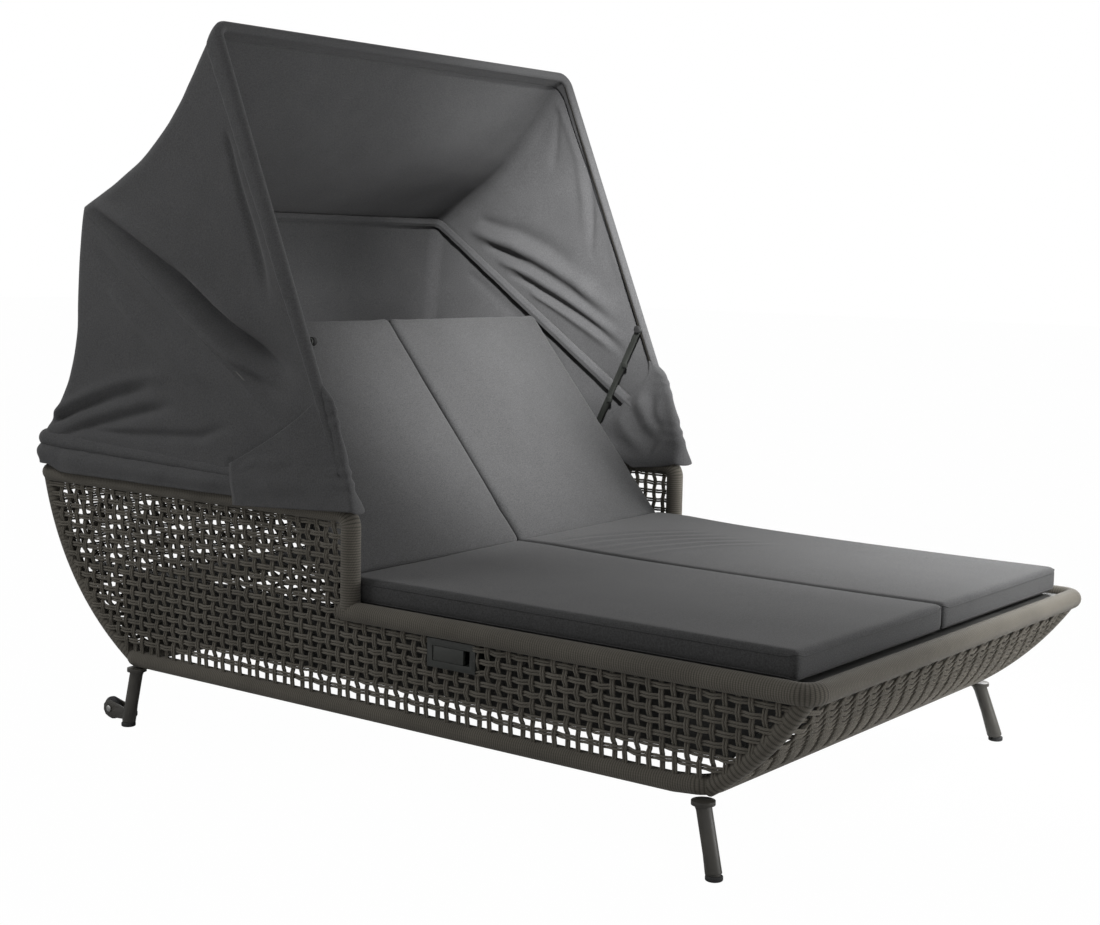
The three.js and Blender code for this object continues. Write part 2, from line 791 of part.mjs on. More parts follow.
function ladderGeometry() {
  const shape = new THREE.Shape();
  const end = backrestLength;
  shape.moveTo(backrestInner, backrestStart);
  shape.lineTo(backrestOuter, backrestStart);
  shape.lineTo(backrestOuter, end);
  shape.lineTo(backrestInner, end);
  shape.closePath();
  const pitch = (end - backrestStart - backrestBarWidth) / backrestWindows;
  for (let window = 0; window < backrestWindows; window += 1) {
    const low = backrestStart + backrestBarWidth + pitch * window;
    const high = low + pitch - backrestBarWidth;
    const hole = new THREE.Path();
    hole.moveTo(backrestInner + backrestBarWidth, low);
    hole.lineTo(backrestInner + backrestBarWidth, high);
    hole.lineTo(backrestOuter - backrestBarWidth, high);
    hole.lineTo(backrestOuter - backrestBarWidth, low);
    hole.closePath();
    shape.holes.push(hole);
  }
  const geometry = new THREE.ExtrudeGeometry(shape, { depth: backrestThickness, bevelEnabled: false });
  geometry.translate(0, 0, -backrestThickness / 2);
  return geometry;
}

// The crank hangs below the hinge, upright halfway through the travel, and carries the spring's pin
function crankPin() {
  const middleTurn = THREE.MathUtils.degToRad(-90 - backrestIncline / 2);
  return [crankRadius * Math.cos(middleTurn), crankRadius * Math.sin(middleTurn)];
}

function backrestGeometry() {
  const barrels = barrelPlaces.map((place) => rodAlongX(place - barrelLength / 2, place + barrelLength / 2,
    0, 0, barrelDiameter));
  const arms = barrelPlaces.map((place) => block(
    at(place - barrelLength / 2, 0, -backrestThickness / 2 + weldOverlap),
    at(place + barrelLength / 2, backrestStart + weldOverlap, backrestThickness / 2 - weldOverlap)));
  const [pinY, pinZ] = crankPin();
  const crank = sidePlate(slotOutline([0, 0], [pinY, pinZ], crankWidth / 2),
    springSpread - crankThickness / 2, springSpread + crankThickness / 2);
  const brace = sidePlate(slotOutline([0, 0], [backrestStart + backrestBarWidth / 2, 0],
    backrestThickness / 2 - weldOverlap), springSpread - crankThickness / 2, springSpread + crankThickness / 2);
  const pin = rodAlongX(springSpread - crankPinLength, springSpread, pinY, pinZ, crankPinDiameter);
  const whole = welded(ladderGeometry(), ...barrels, ...arms, crank, brace, pin);
  return cutBy(whole, hingeBore(0, 0));
}

// A cushion: crowned, with its top edges rolled down and its sides drawn in between the corners
function cushionGeometry(length, thickness) {
  const geometry = new THREE.BoxGeometry(cushionWidth, length, thickness, ...cushionSteps);
  const place = geometry.attributes.position;
  for (let index = 0; index < place.count; index += 1) {
    const across = place.getX(index) / (cushionWidth / 2);
    const along = place.getY(index) / (length / 2);
    const isTop = place.getZ(index) > 0;
    const crown = cushionCrown * (1 - across * across) * (1 - along * along);
    const border = Math.max(Math.abs(across), Math.abs(along)) ** cushionEdgePower;
    const cornerCut = cushionCornerCut * Math.abs(across * along) ** cushionEdgePower;
    const lift = isTop ? crown - cushionEdgeDrop * border : 0;
    const drawIn = isTop ? cushionDrawIn : 0;
    place.setXYZ(index,
      place.getX(index) - drawIn * across * (1 - along * along) - cornerCut * across,
      place.getY(index) - drawIn * along * (1 - across * across) - cornerCut * along,
      place.getZ(index) + thickness / 2 + lift);
  }
  geometry.computeVertexNormals();
  return geometry;
}

function addBackrests() {
  const groups = [backrestGroup(), backrestGroup()];
  pair('backrest_frame', backrestGeometry(), 'deck', ...groups);

  const backCushion = cushionGeometry(backCushionLength, backCushionThickness);
  backCushion.translate(cushionHalfWidth - cushionWidth / 2, backCushionStart + backCushionLength / 2,
    backrestThickness / 2 + cushionRest);
  pair('back_cushion', backCushion, 'cushion', ...groups);

  const foot = footRailY + topRailDiameter / 2 + seatCushionFootClearance;
  const head = hingePlace - seatCushionHingeGap;
  const seatCushion = cushionGeometry(head - foot, seatCushionThickness);
  seatCushion.translate(cushionHalfWidth - cushionWidth / 2, (head + foot) / 2, deckTop + cushionRest);
  pair('seat_cushion', seatCushion, 'cushion');
}

// The gas spring lies level below the seat, and the crank's pin works in an upright slot in its eye
const halfIncline = THREE.MathUtils.degToRad(backrestIncline / 2);
const springZ = hingeHeight - crankRadius * Math.cos(halfIncline);
const springPinY = hingePlace + crankRadius * Math.sin(halfIncline);
const springTravel = 2 * crankRadius * Math.sin(halfIncline);
const springX = springSpread - crankThickness / 2 - touchGap - hingeClearance - eyeThickness / 2;
const eyeReach = crankPinDiameter / 2 + eyeClearance;
const cylinderEnd = springPinY - eyeReach - eyeWall - eyeNeck;
const cylinderStart = cylinderEnd - cylinderLength;
const boreDepth = cylinderLength - cylinderEndWall;

function springRod(fromY, toY, diameter) {
  return rod(at(springX, fromY, springZ), at(springX, toY, springZ), diameter, holeSides);
}

function cylinderGeometry() {
  const pinDrop = crankRadius * (1 - Math.cos(halfIncline));
  const body = springRod(cylinderStart, cylinderEnd + weldOverlap, cylinderDiameter);
  const bore = springRod(cylinderStart - cutOverrun, cylinderStart + boreDepth, cylinderBore);
  const eye = block(
    at(springX - eyeThickness / 2, cylinderEnd, springZ - pinDrop - eyeReach - eyeWall),
    at(springX + eyeThickness / 2, springPinY + eyeReach + eyeWall, springZ + eyeReach + eyeWall));
  const slot = block(
    at(springX - eyeThickness, springPinY - eyeReach, springZ - pinDrop - eyeReach),
    at(springX + eyeThickness, springPinY + eyeReach, springZ + eyeReach));
  return cutBy(welded(body, eye), bore, slot);
}

// The rod is fixed: its release head hangs from the slat beside the handle
function gasRodGeometry() {
  const headMiddle = (handleFootEnd + handleHeadEnd) / 2;
  const headStart = headMiddle - releaseHeadLength / 2;
  const headEnd = headMiddle + releaseHeadLength / 2;
  const half = releaseHeadSize / 2;
  const head = block(at(springX - half, headStart, springZ - half), at(springX + half, headEnd, springZ + half));
  const shaft = springRod(headEnd - weldOverlap, cylinderStart + boreDepth - springTravel - rodEndClearance,
    rodDiameter);
  const hanger = block(at(springX - half, headStart, springZ),
    at(springX - half + hangerThickness, headEnd, slatBottom - touchGap));
  return welded(head, shaft, hanger);
}

function addGasSprings() {
  pair('gas_cylinder', cylinderGeometry(), 'frame');
  pair('gas_rod', gasRodGeometry(), 'steel');
}

// The flush handle: a tray set in the weave and a paddle hinged at its head end, pulled by the slot
function handleFaceX() {
  return sideWeaveX(handleTop, lowRailZ) + weaveThickness / 2 + housingProud;
}

function addHandles() {
  const faceX = handleFaceX();
  const backX = faceX - housingDepth;
  const low = at(backX, handleFootEnd, handleBottom);
  const high = at(faceX, handleHeadEnd, handleTop);
  const shell = block(low, high);
  const room = block(
    at(backX + housingWall, handleFootEnd + housingRim, handleBottom + housingRim),
    at(faceX + cutOverrun, handleHeadEnd - housingRim, handleTop - housingRim));
  const middleZ = (handleBottom + handleTop) / 2;
  const hingeY = handleHeadEnd - housingRim - paddleGap - paddleThickness / 2;
  const hingeX = faceX - paddleThickness / 2;
  const tailRoom = block(
    at(backX - cutOverrun, hingeY - paddleTailSize, middleZ - paddleTailSize),
    at(backX + housingWall + cutOverrun, hingeY + paddleTailSize / 2, middleZ + paddleTailSize));
  const pinBore = rod(at(hingeX, hingeY, handleBottom + housingRim / 2),
    at(hingeX, hingeY, handleTop - housingRim / 2), paddlePinDiameter + 2 * hingeClearance, holeSides);
  pair('handle_housing', cutBy(shell, room, tailRoom, pinBore), 'plastic');

  const paddleFoot = handleFootEnd + housingRim + paddleGap + fingerSlotWidth;
  const lowZ = handleBottom + housingRim + paddleGap;
  const highZ = handleTop - housingRim - paddleGap;
  const plate = block(at(faceX - paddleThickness, paddleFoot, lowZ), at(faceX, hingeY, highZ));
  const knuckle = rod(at(hingeX, hingeY, lowZ), at(hingeX, hingeY, highZ), paddleThickness, holeSides);
  const pin = rod(at(hingeX, hingeY, handleBottom + housingRim / 2 + touchGap),
    at(hingeX, hingeY, handleTop - housingRim / 2 - touchGap), paddlePinDiameter, holeSides);
  const tail = block(
    at(faceX - paddleThickness - paddleTailLength, hingeY - paddleTailSize, middleZ - paddleTailSize / 2),
    at(faceX - paddleThickness + weldOverlap, hingeY - paddleTailSize / 2, middleZ + paddleTailSize / 2));
  pair('release_paddle', welded(plate, knuckle, pin, tail), 'plastic');
}

// A place in a hoop's plane: its X and its distance from the pivot line
function inHoopPlane(angle, x, distance) {
  const turn = THREE.MathUtils.degToRad(angle);
  return at(x, pivotPlace + distance * Math.cos(turn), pivotHeight + distance * Math.sin(turn));
}

function hoopGeometry(hoop, tabIndex) {
  const corners = [
    inHoopPlane(hoop.angle, hoopHalfWidth, hoopTubeStart), inHoopPlane(hoop.angle, hoopHalfWidth, hoop.reach),
    inHoopPlane(hoop.angle, -hoopHalfWidth, hoop.reach), inHoopPlane(hoop.angle, -hoopHalfWidth, hoopTubeStart),
  ];
  const tube = tubeThrough(roundedRun(corners, hoopCornerRadius, hoopCornerSteps), hoopTubeDiameter, hoopSides);
  const tabEnd = inHoopPlane(hoop.angle, 0, hoopTubeStart + hoopTabOverlap);
  const tabX = hoopHalfWidth + (1 - tabIndex) * hoopTabSpacing;
  const outline = slotOutline([pivotPlace, pivotHeight], [tabEnd.y, tabEnd.z], hoopTabWidth / 2);
  const tab = cutBy(sidePlate(outline, tabX - hoopTabThickness / 2, tabX + hoopTabThickness / 2),
    rodAlongX(0, 2 * hoopHalfWidth, pivotPlace, pivotHeight, pivotPinDiameter + 2 * pivotPinClearance));
  return welded(tube, tab, mirrored(tab));
}

const frontHoop = { angle: frontHoopAngle, reach: frontHoopReach };
const middleHoop = { angle: middleHoopAngle, reach: middleHoopReach };
const rearHoop = { angle: rearHoopAngle, reach: rearHoopReach };
const bracketBottom = highRailTop + touchGap;

function addHoops() {
  piece('front_hoop', hoopGeometry(frontHoop, 0), 'frame');
  piece('middle_hoop', hoopGeometry(middleHoop, 1), 'frame');
  piece('rear_hoop', hoopGeometry(rearHoop, 2), 'frame');

  const tabReach = hoopTabSpacing + hoopTabThickness / 2 + pivotPinClearance;
  const plateOuter = hoopHalfWidth - tabReach;
  const plateInner = plateOuter - pivotPlateThickness;
  const footEnd = postY + postBendRadius + pivotFootLength / 2;
  const footTop = bracketBottom + pivotFootThickness;
  const plate = sidePlate(slotOutline([pivotPlace, bracketBottom + hoopTabWidth / 2], [pivotPlace, pivotHeight],
    hoopTabWidth / 2), plateInner, plateOuter);
  const web = block(at(plateInner, pivotPlace - hoopTabWidth / 2, bracketBottom),
    at(plateOuter, footEnd, footTop));
  const foot = block(at(topRailX - pivotFootWidth / 2, footEnd - pivotFootLength, bracketBottom),
    at(topRailX + pivotFootWidth / 2, footEnd, footTop));
  const pinEnd = hoopHalfWidth + tabReach;
  const pin = rodAlongX(plateInner, pinEnd + hoopTabThickness / 2, pivotPlace, pivotHeight, pivotPinDiameter);
  const cap = rodAlongX(pinEnd, pinEnd + hoopTabThickness / 2, pivotPlace, pivotHeight, hoopTabWidth);
  pair('hoop_pivot', welded(plate, web, foot, pin, cap), 'frame');
}

const stayFoot = [pivotPlace + stayFootRun, pivotHeight];
const stayOuterX = hoopHalfWidth - hoopTubeDiameter / 2 - stayHoopClearance;
const stayInnerX = stayOuterX - stayThickness;

// The stay's line in Y and Z, 0 at its pivot on the rail and 1 at the front hoop
function stayPoint(share) {
  const top = inHoopPlane(frontHoopAngle, 0, stayHoopDistance);
  return [stayFoot[0] + (top.y - stayFoot[0]) * share, stayFoot[1] + (top.z - stayFoot[1]) * share];
}

function addStays() {
  const bar = sidePlate(slotOutline(stayPoint(0), stayPoint(1), stayWidth / 2), stayInnerX, stayOuterX);
  const clips = stayClipShares.map((share) => {
    const [y, z] = stayPoint(share);
    return block(at(stayInnerX - stayThickness, y - stayWidth / 2 - stayClipSize / 2, z - stayClipSize / 2),
      at(stayInnerX + weldOverlap, y, z + stayClipSize / 2));
  });
  const bores = [0, 1].map((share) => rodAlongX(stayInnerX - cutOverrun, stayOuterX + cutOverrun,
    ...stayPoint(share), knobStemDiameter + 2 * pivotPinClearance));
  pair('canopy_stay', cutBy(welded(bar, ...clips), ...bores), 'plastic');

  const plateInner = stayOuterX + pivotPinClearance;
  const capOuter = stayInnerX - pivotPinClearance;
  const plate = sidePlate(slotOutline([stayFoot[0], bracketBottom + stayEndRadius], stayFoot, stayEndRadius),
    plateInner, plateInner + pivotPlateThickness);
  const foot = block(at(topRailX - pivotFootWidth / 2, stayFoot[0] - pivotFootLength / 2, bracketBottom),
    at(topRailX + pivotFootWidth / 2, stayFoot[0] + pivotFootLength / 2, bracketBottom + pivotFootThickness));
  const pin = rodAlongX(capOuter - pivotFootThickness, plateInner + weldOverlap, ...stayFoot, knobStemDiameter);
  const cap = rodAlongX(capOuter - pivotFootThickness, capOuter, ...stayFoot, stayWidth);
  pair('stay_bracket', welded(plate, foot, pin, cap), 'frame');

  const headOuter = stayInnerX - touchGap;
  const stemEnd = hoopHalfWidth - hoopTubeDiameter / 2 - touchGap;
  const head = rodAlongX(headOuter - knobThickness, headOuter, ...stayPoint(1), knobDiameter);
  const stem = rodAlongX(headOuter - weldOverlap, stemEnd, ...stayPoint(1), knobStemDiameter);
  pair('stay_knob', welded(head, stem), 'rubber');
}

// A closed sheet of cloth over a grid of shares, with its middle surface given as a function
function clothSheet(surface, alongSteps, acrossSteps) {
  const geometry = new THREE.BoxGeometry(1, 1, 1, alongSteps, acrossSteps, 1);
  const place = geometry.attributes.position;
  const nudge = 1 / (4 * alongSteps);
  for (let index = 0; index < place.count; index += 1) {
    const along = place.getX(index) + 0.5;
    const across = place.getY(index) + 0.5;
    const alongStep = surface(Math.min(along + nudge, 1), across)
      .sub(surface(Math.max(along - nudge, 0), across));
    const acrossStep = surface(along, Math.min(across + nudge, 1))
      .sub(surface(along, Math.max(across - nudge, 0)));
    const normal = alongStep.cross(acrossStep).normalize();
    const point = surface(along, across).addScaledVector(normal, place.getZ(index) * clothThickness);
    place.setXYZ(index, point.x, point.y, point.z);
  }
  geometry.computeVertexNormals();
  return geometry;
}

// The cloth's line over one hoop, as [x, distance from the pivot line], station by station
function overHoop(hoop, share) {
  const radius = hoopCornerRadius + clothStandOff;
  const halfWidth = hoopHalfWidth + clothStandOff;
  const reach = hoop.reach + clothStandOff;
  const steps = 2 * (clothLegSteps + clothCornerSteps) + clothRoofSteps;
  const fromEnd = Math.min(share, 1 - share) * steps;
  const side = share <= 0.5 ? 1 : -1;
  if (fromEnd <= clothLegSteps) {
    return [side * halfWidth, clothStart + (reach - radius - clothStart) * fromEnd / clothLegSteps];
  }
  if (fromEnd <= clothLegSteps + clothCornerSteps) {
    const turn = Math.PI / 2 * (fromEnd - clothLegSteps) / clothCornerSteps;
    return [side * (halfWidth - radius + radius * Math.cos(turn)), reach - radius + radius * Math.sin(turn)];
  }
  const roofShare = (fromEnd - clothLegSteps - clothCornerSteps) / (clothRoofSteps / 2);
  return [side * (halfWidth - radius) * (1 - roofShare), reach];
}

// A gore is stretched straight from one hoop to the next, sags between them and folds at its sides
function goreGeometry(first, second, sag) {
  const seamShare = clothSeamGap / (first.reach * THREE.MathUtils.degToRad(first.angle - second.angle));
  const surface = (along, across) => {
    const shared = seamShare + (1 - 2 * seamShare) * across;
    const [firstX, firstDistance] = overHoop(first, along);
    const [secondX, secondDistance] = overHoop(second, along);
    const point = inHoopPlane(first.angle, firstX, firstDistance)
      .lerp(inHoopPlane(second.angle, secondX, secondDistance), shared);
    const drawn = Math.sin(Math.PI * shared);
    const turn = THREE.MathUtils.degToRad(first.angle + (second.angle - first.angle) * shared);
    const outShare = (firstDistance - clothStart) / (first.reach - clothStart);
    const roofShare = THREE.MathUtils.smoothstep(outShare, 0.5, 1);
    const wallShare = Math.sin(Math.PI * Math.min(outShare, 1));
    const fold = sideFoldDepth * Math.sin(2 * Math.PI * sideFolds * shared) * drawn;
    point.y -= drawn * sag * roofShare * Math.cos(turn);
    point.z -= drawn * sag * roofShare * Math.sin(turn);
    point.x -= Math.sign(firstX) * (drawn * sideSag + fold) * wallShare;
    return point;
  };
  return clothSheet(surface, 2 * (clothLegSteps + clothCornerSteps) + clothRoofSteps, clothAcrossSteps);
}

const skirtHem = highRailTop - skirtHemDrop;
const skirtRidge = highRailTop + skirtRidgeRise;
const flapFront = stepPlace + flapFrontInset;
const goreOuterX = hoopHalfWidth + clothStandOff + clothThickness / 2;
const skirtX = goreOuterX + skirtStandOff + clothThickness / 2;
const skirtCornerRadius = hoopCornerRadius + skirtX - hoopHalfWidth;
const skirtCornerY = inHoopPlane(rearHoopAngle, 0, rearHoopReach).y - hoopCornerRadius;

// The lower edge of the side cloth: the front flap hangs lowest, and the hem climbs onto the head rail
function hemHeight(y) {
  const flapHem = highRailTop - flapHemDrop;
  const flapEnd = flapFront + flapLength;
  if (y < flapEnd) {
    return skirtHem + (flapHem - skirtHem) * (y - flapFront) / flapLength;
  }
  const seam = THREE.MathUtils.smoothstep(y, flapEnd, flapEnd + flapSeamRun);
  const climb = THREE.MathUtils.smoothstep(y, bodyHeadReach - hemRiseStart, bodyHeadReach - hemRiseEnd);
  return flapHem + (skirtHem - flapHem) * seam + (skirtHemDrop + headHemRise) * climb;
}

// The upper edge follows the front hoop's leg up from the flap's front corner
function ridgeHeight(y) {
  const slope = Math.tan(THREE.MathUtils.degToRad(frontHoopAngle));
  return Math.min(skirtRidge, skirtHem + clothStandOff + (y - flapFront) * slope);
}

function sideSkirtGeometry() {
  const steps = skirtSideSteps + clothCornerSteps;
  const surface = (along, across) => {
    const sideShare = Math.min(1, along * steps / skirtSideSteps);
    const turn = Math.PI / 2 * Math.max(0, along * steps - skirtSideSteps) / clothCornerSteps;
    const y = flapFront + (skirtCornerY - flapFront) * sideShare + skirtCornerRadius * Math.sin(turn);
    const x = skirtX - skirtCornerRadius * (1 - Math.cos(turn));
    const fold = skirtFoldDepth * (1 - across) * Math.sin(Math.PI * skirtFolds * sideShare) ** 2;
    return at(x + fold, y, hemHeight(y) + (ridgeHeight(y) - hemHeight(y)) * across);
  };
  return clothSheet(surface, steps, skirtRows);
}

function headSkirtGeometry() {
  const half = skirtX - skirtCornerRadius - touchGap;
  const y = skirtCornerY + skirtCornerRadius;
  const hem = hemHeight(bodyHeadReach);
  const surface = (along, across) => at(half * (1 - 2 * along), y, hem + (skirtRidge - hem) * across);
  return clothSheet(surface, skirtRows, 1);
}

// Inside the front corner the cloth passes between stay and hoop and hangs down inside the high rail
function innerFlapGeometry() {
  const lowX = railInnerX - innerFlapStandOff - clothThickness / 2;
  const highX = stayOuterX + stayHoopClearance / 2;
  const bottom = highRailTop - innerFlapDrop;
  const top = highRailTop + innerFlapRise;
  const surface = (along, across) => {
    const z = bottom + (top - bottom) * across;
    const slope = Math.tan(THREE.MathUtils.degToRad(frontHoopAngle));
    const front = Math.max(flapFront, flapFront + (z - skirtHem) / slope);
    const length = innerFlapFootLength + (innerFlapTopLength - innerFlapFootLength) * across;
    const knee = THREE.MathUtils.clamp((z - highRailTop) / innerFlapKneeRise, 0, 1);
    return at(lowX + (highX - lowX) * knee, front + length * along, z);
  };
  return clothSheet(surface, ...innerFlapSteps);
}

function addCloth() {
  piece('canopy_front_gore', goreGeometry(frontHoop, middleHoop, roofSag), 'cloth');
  piece('canopy_rear_gore', goreGeometry(middleHoop, rearHoop, rearSag), 'cloth');
  pair('canopy_skirt', sideSkirtGeometry(), 'cloth');
  piece('canopy_head_skirt', headSkirtGeometry(), 'cloth');
  pair('canopy_inner_flap', innerFlapGeometry(), 'cloth');
}

addBodyFrame();
addSideWeave();
addEndWeave();
addLegs();
addWheels();
addDeck();
addBackrests();
addGasSprings();
addHandles();
addHoops();
addStays();
addCloth();

export default daybed;
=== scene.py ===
"""An outdoor daybed for two with a folding canopy: rope-wrapped body, loose cushions, reclining backrests.

The frame holds the solid parts. This file adds the rope, the padded cushions, the hung cloth and the finishes.
Lengths are in metres, +Z is up and -Y is the foot end.
"""
import math
import random

import bmesh
import bpy
import numpy as np
from bpy.props import FloatProperty, FloatVectorProperty, IntProperty, PointerProperty
from mathutils import Matrix, Vector, noise
from mathutils.bvhtree import BVHTree


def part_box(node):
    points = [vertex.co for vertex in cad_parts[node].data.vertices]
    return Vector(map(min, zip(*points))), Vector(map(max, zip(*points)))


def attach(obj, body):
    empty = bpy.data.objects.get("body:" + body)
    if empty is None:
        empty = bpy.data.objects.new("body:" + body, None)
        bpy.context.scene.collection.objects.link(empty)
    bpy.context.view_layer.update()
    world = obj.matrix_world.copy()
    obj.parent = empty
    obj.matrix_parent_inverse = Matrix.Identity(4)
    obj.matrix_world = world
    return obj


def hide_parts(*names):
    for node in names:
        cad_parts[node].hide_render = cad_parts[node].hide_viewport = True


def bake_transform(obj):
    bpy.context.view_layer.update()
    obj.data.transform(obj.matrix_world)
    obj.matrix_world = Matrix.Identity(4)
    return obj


bl_info = {
    "name": "Canopy daybed",
    "version": (1, 0, 0),
    "blender": (4, 5, 0),
    "location": "3D View > Sidebar > Daybed",
    "description": "Builds the rope, cushions, cloth and finishes of an outdoor daybed on its solid frame",
    "category": "Add Mesh",
}

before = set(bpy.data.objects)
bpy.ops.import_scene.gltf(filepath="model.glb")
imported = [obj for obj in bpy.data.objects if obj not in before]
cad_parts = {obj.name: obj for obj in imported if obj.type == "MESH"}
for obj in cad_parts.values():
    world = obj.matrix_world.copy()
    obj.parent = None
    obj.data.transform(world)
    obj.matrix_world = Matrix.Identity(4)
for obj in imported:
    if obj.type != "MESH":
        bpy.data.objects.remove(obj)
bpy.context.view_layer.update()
SIDES = {"right": 1, "left": -1}

# Lines of the body, as its solids have them
RAIL_X, BASE_X = 0.628, 0.612
LOW_Z, HIGH_Z, BASE_Z = 0.375, 0.585, 0.160
FOOT_Y, HEAD_Y = -1.072, 1.072
BASE_FOOT_Y, BASE_HEAD_Y = -0.858, 0.780
POST_Y = 0.043
TOP_CORNER = BASE_CORNER = 0.030
FOOT_BOW, HEAD_BOW = -0.016, 0.056
CORNER_SHARE = 1 - math.sqrt(0.5)
HANDLE_Y, HANDLE_Z = (-0.305, -0.185), (0.2967, 0.3487)
HINGE = Vector((0.0, 0.118, 0.372))
BACK_TURN = math.radians(50)

# Lines of the canopy. A hoop is its angle and its reach from the pivot line; its cloth starts at HOOP_FOOT.
PIVOT = (0.040, 0.630)
HOOP_X, HOOP_CORNER, HOOP_FOOT = 0.642, 0.030, 0.040
FRONT_HOOP = (math.radians(67.6), 1.074)
MIDDLE_HOOP = (math.radians(34.9), 1.048)
REAR_HOOP = (math.radians(2.3), 1.028)
# Distances of the cloth and of a sleeve from the middle of a hoop's tube
CLOTH_OFF, WRAP_OFF = 0.0108, 0.0126


# Settings that a user would change


def length(name, description, default):
    return FloatProperty(name=name, description=description, default=default, min=0, unit="LENGTH")


def shade(name, description, default):
    return FloatVectorProperty(name=name, description=description, default=default, subtype="COLOR",
                               size=3, min=0, max=1)


class RopeSettings(bpy.types.PropertyGroup):
    rope: length("Rope", "Diameter of one rope", 0.0056)
    pair: length("Pair", "Distance between the two ropes of a pair", 0.0060)
    column: length("Column pitch", "Distance between upright pairs", 0.028)
    row: length("Row pitch", "Distance between level pairs", 0.0236)
    depth: length("Weave depth", "How far a pair passes over and under", 0.0029)
    stray: length("Stray", "How far a crossing strays from the even grid", 0.0009)
    rail: length("Rail", "Diameter of a top rail over its winding", 0.0436)
    base_rail: length("Base rail", "Diameter of a base rail over its winding", 0.0396)
    corner: length("Corner tube", "Diameter of a corner tube over its winding", 0.0372)
    facets: IntProperty(name="Facets", description="Sides of one rope", default=6, min=3, max=16)


class CushionSettings(bpy.types.PropertyGroup):
    voxel: length("Mesh size", "Size of the cloth mesh that swells", 0.0085)
    swell: length("Most swell", "How far the filling may push the cover out", 0.024)
    edge: length("Edge", "Radius of the boxed edges", 0.009)
    seam: length("Seam", "Diameter of the seam along the edges", 0.0024)
    pressure: FloatProperty(name="Pressure", description="Pressure of the filling", default=4.0, min=0)


class CanopySettings(bpy.types.PropertyGroup):
    cloth: length("Cloth", "Thickness of the canopy cloth", 0.0016)
    roof_sag: length("Front sag", "Sag of the cloth between front and middle hoop", 0.055)
    rear_sag: length("Rear sag", "Sag of the cloth between middle and rear hoop", 0.060)
    side_sag: length("Side sag", "How far the sides are drawn in between the hoops", 0.010)
    sleeve: length("Sleeve", "Width of the sleeve that holds a hoop", 0.032)


class FinishSettings(bpy.types.PropertyGroup):
    rope: shade("Rope", "Colour of the rope", (0.170, 0.156, 0.130))
    cushion: shade("Cushion", "Colour of the cushion covers", (0.070, 0.070, 0.071))
    canopy: shade("Canopy", "Colour of the canopy cloth", (0.092, 0.092, 0.094))
    metal: shade("Painted metal", "Colour of legs and hoops", (0.046, 0.043, 0.036))
    deck: shade("Deck", "Colour of the deck metal", (0.060, 0.060, 0.057))
    steel: shade("Steel", "Colour of bare steel", (0.42, 0.42, 0.41))
    plastic: shade("Plastic", "Colour of handles and stays", (0.022, 0.024, 0.021))
    rubber: shade("Rubber", "Colour of glides, wheels and knobs", (0.014, 0.014, 0.014))


# Node trees


def add_node(tree, kind, inputs=(), **settings):
    """Adds one node; an input is a value, or a socket that it is linked to."""
    node = tree.nodes.new(kind)
    for name, value in settings.items():
        setattr(node, name, value)
    for place, value in dict(inputs).items():
        if isinstance(value, bpy.types.NodeSocket):
            tree.links.new(value, node.inputs[place])
        else:
            node.inputs[place].default_value = value
    return node


def maths(tree, operation, first, second=0.0, third=0.0):
    return add_node(tree, "ShaderNodeMath", {0: first, 1: second, 2: third}, operation=operation).outputs[0]


def blank_material(name, roughness, metallic=0.0, sheen=0.0, specular=0.5):
    material = bpy.data.materials.new(name)
    material.use_nodes = True
    tree = material.node_tree
    tree.nodes.clear()
    surface = add_node(tree, "ShaderNodeBsdfPrincipled", {
        "Roughness": roughness, "Metallic": metallic, "Sheen Weight": sheen, "Sheen Roughness": 0.5,
        "Specular IOR Level": specular})
    add_node(tree, "ShaderNodeOutputMaterial", {"Surface": surface.outputs[0]})
    return tree, surface


def mixed(tree, share, low, high, blend="MIX"):
    """Mixes two colours by a share; each of the three is a value or a socket."""
    ends = {place: end if isinstance(end, bpy.types.NodeSocket) else (*end, 1)
            for place, end in ((6, low), (7, high))}
    return add_node(tree, "ShaderNodeMix", {"Factor": share, **ends}, data_type="RGBA",
                    blend_type=blend).outputs[2]


def varied(tree, share, colour, low, high):
    """A colour that varies between two strengths of itself."""
    return mixed(tree, share, *(tuple(min(1.0, channel * factor) for channel in colour) for factor in (low, high)))


def grey(level):
    return level, level, level


def object_place(tree):
    return add_node(tree, "ShaderNodeTexCoord").outputs["Object"]


def carried_run(tree, attribute):
    """The three parts of a run that the mesh carries in an attribute."""
    run = add_node(tree, "ShaderNodeAttribute", attribute_name=attribute).outputs["Vector"]
    return add_node(tree, "ShaderNodeSeparateXYZ", {0: run}).outputs


def noise_at(tree, place, scale, detail=2.0):
    return add_node(tree, "ShaderNodeTexNoise", {"Vector": place, "Scale": scale, "Detail": detail}).outputs[0]


def spread(tree, value, low, high):
    """Stretches the middle of a noise to the whole range from 0 to 1."""
    return add_node(tree, "ShaderNodeMapRange", {0: value, 1: low, 2: high}).outputs[0]


def bumped(tree, surface, height, strength, distance):
    bump = add_node(tree, "ShaderNodeBump", {"Height": height, "Strength": strength, "Distance": distance})
    tree.links.new(bump.outputs[0], surface.inputs["Normal"])


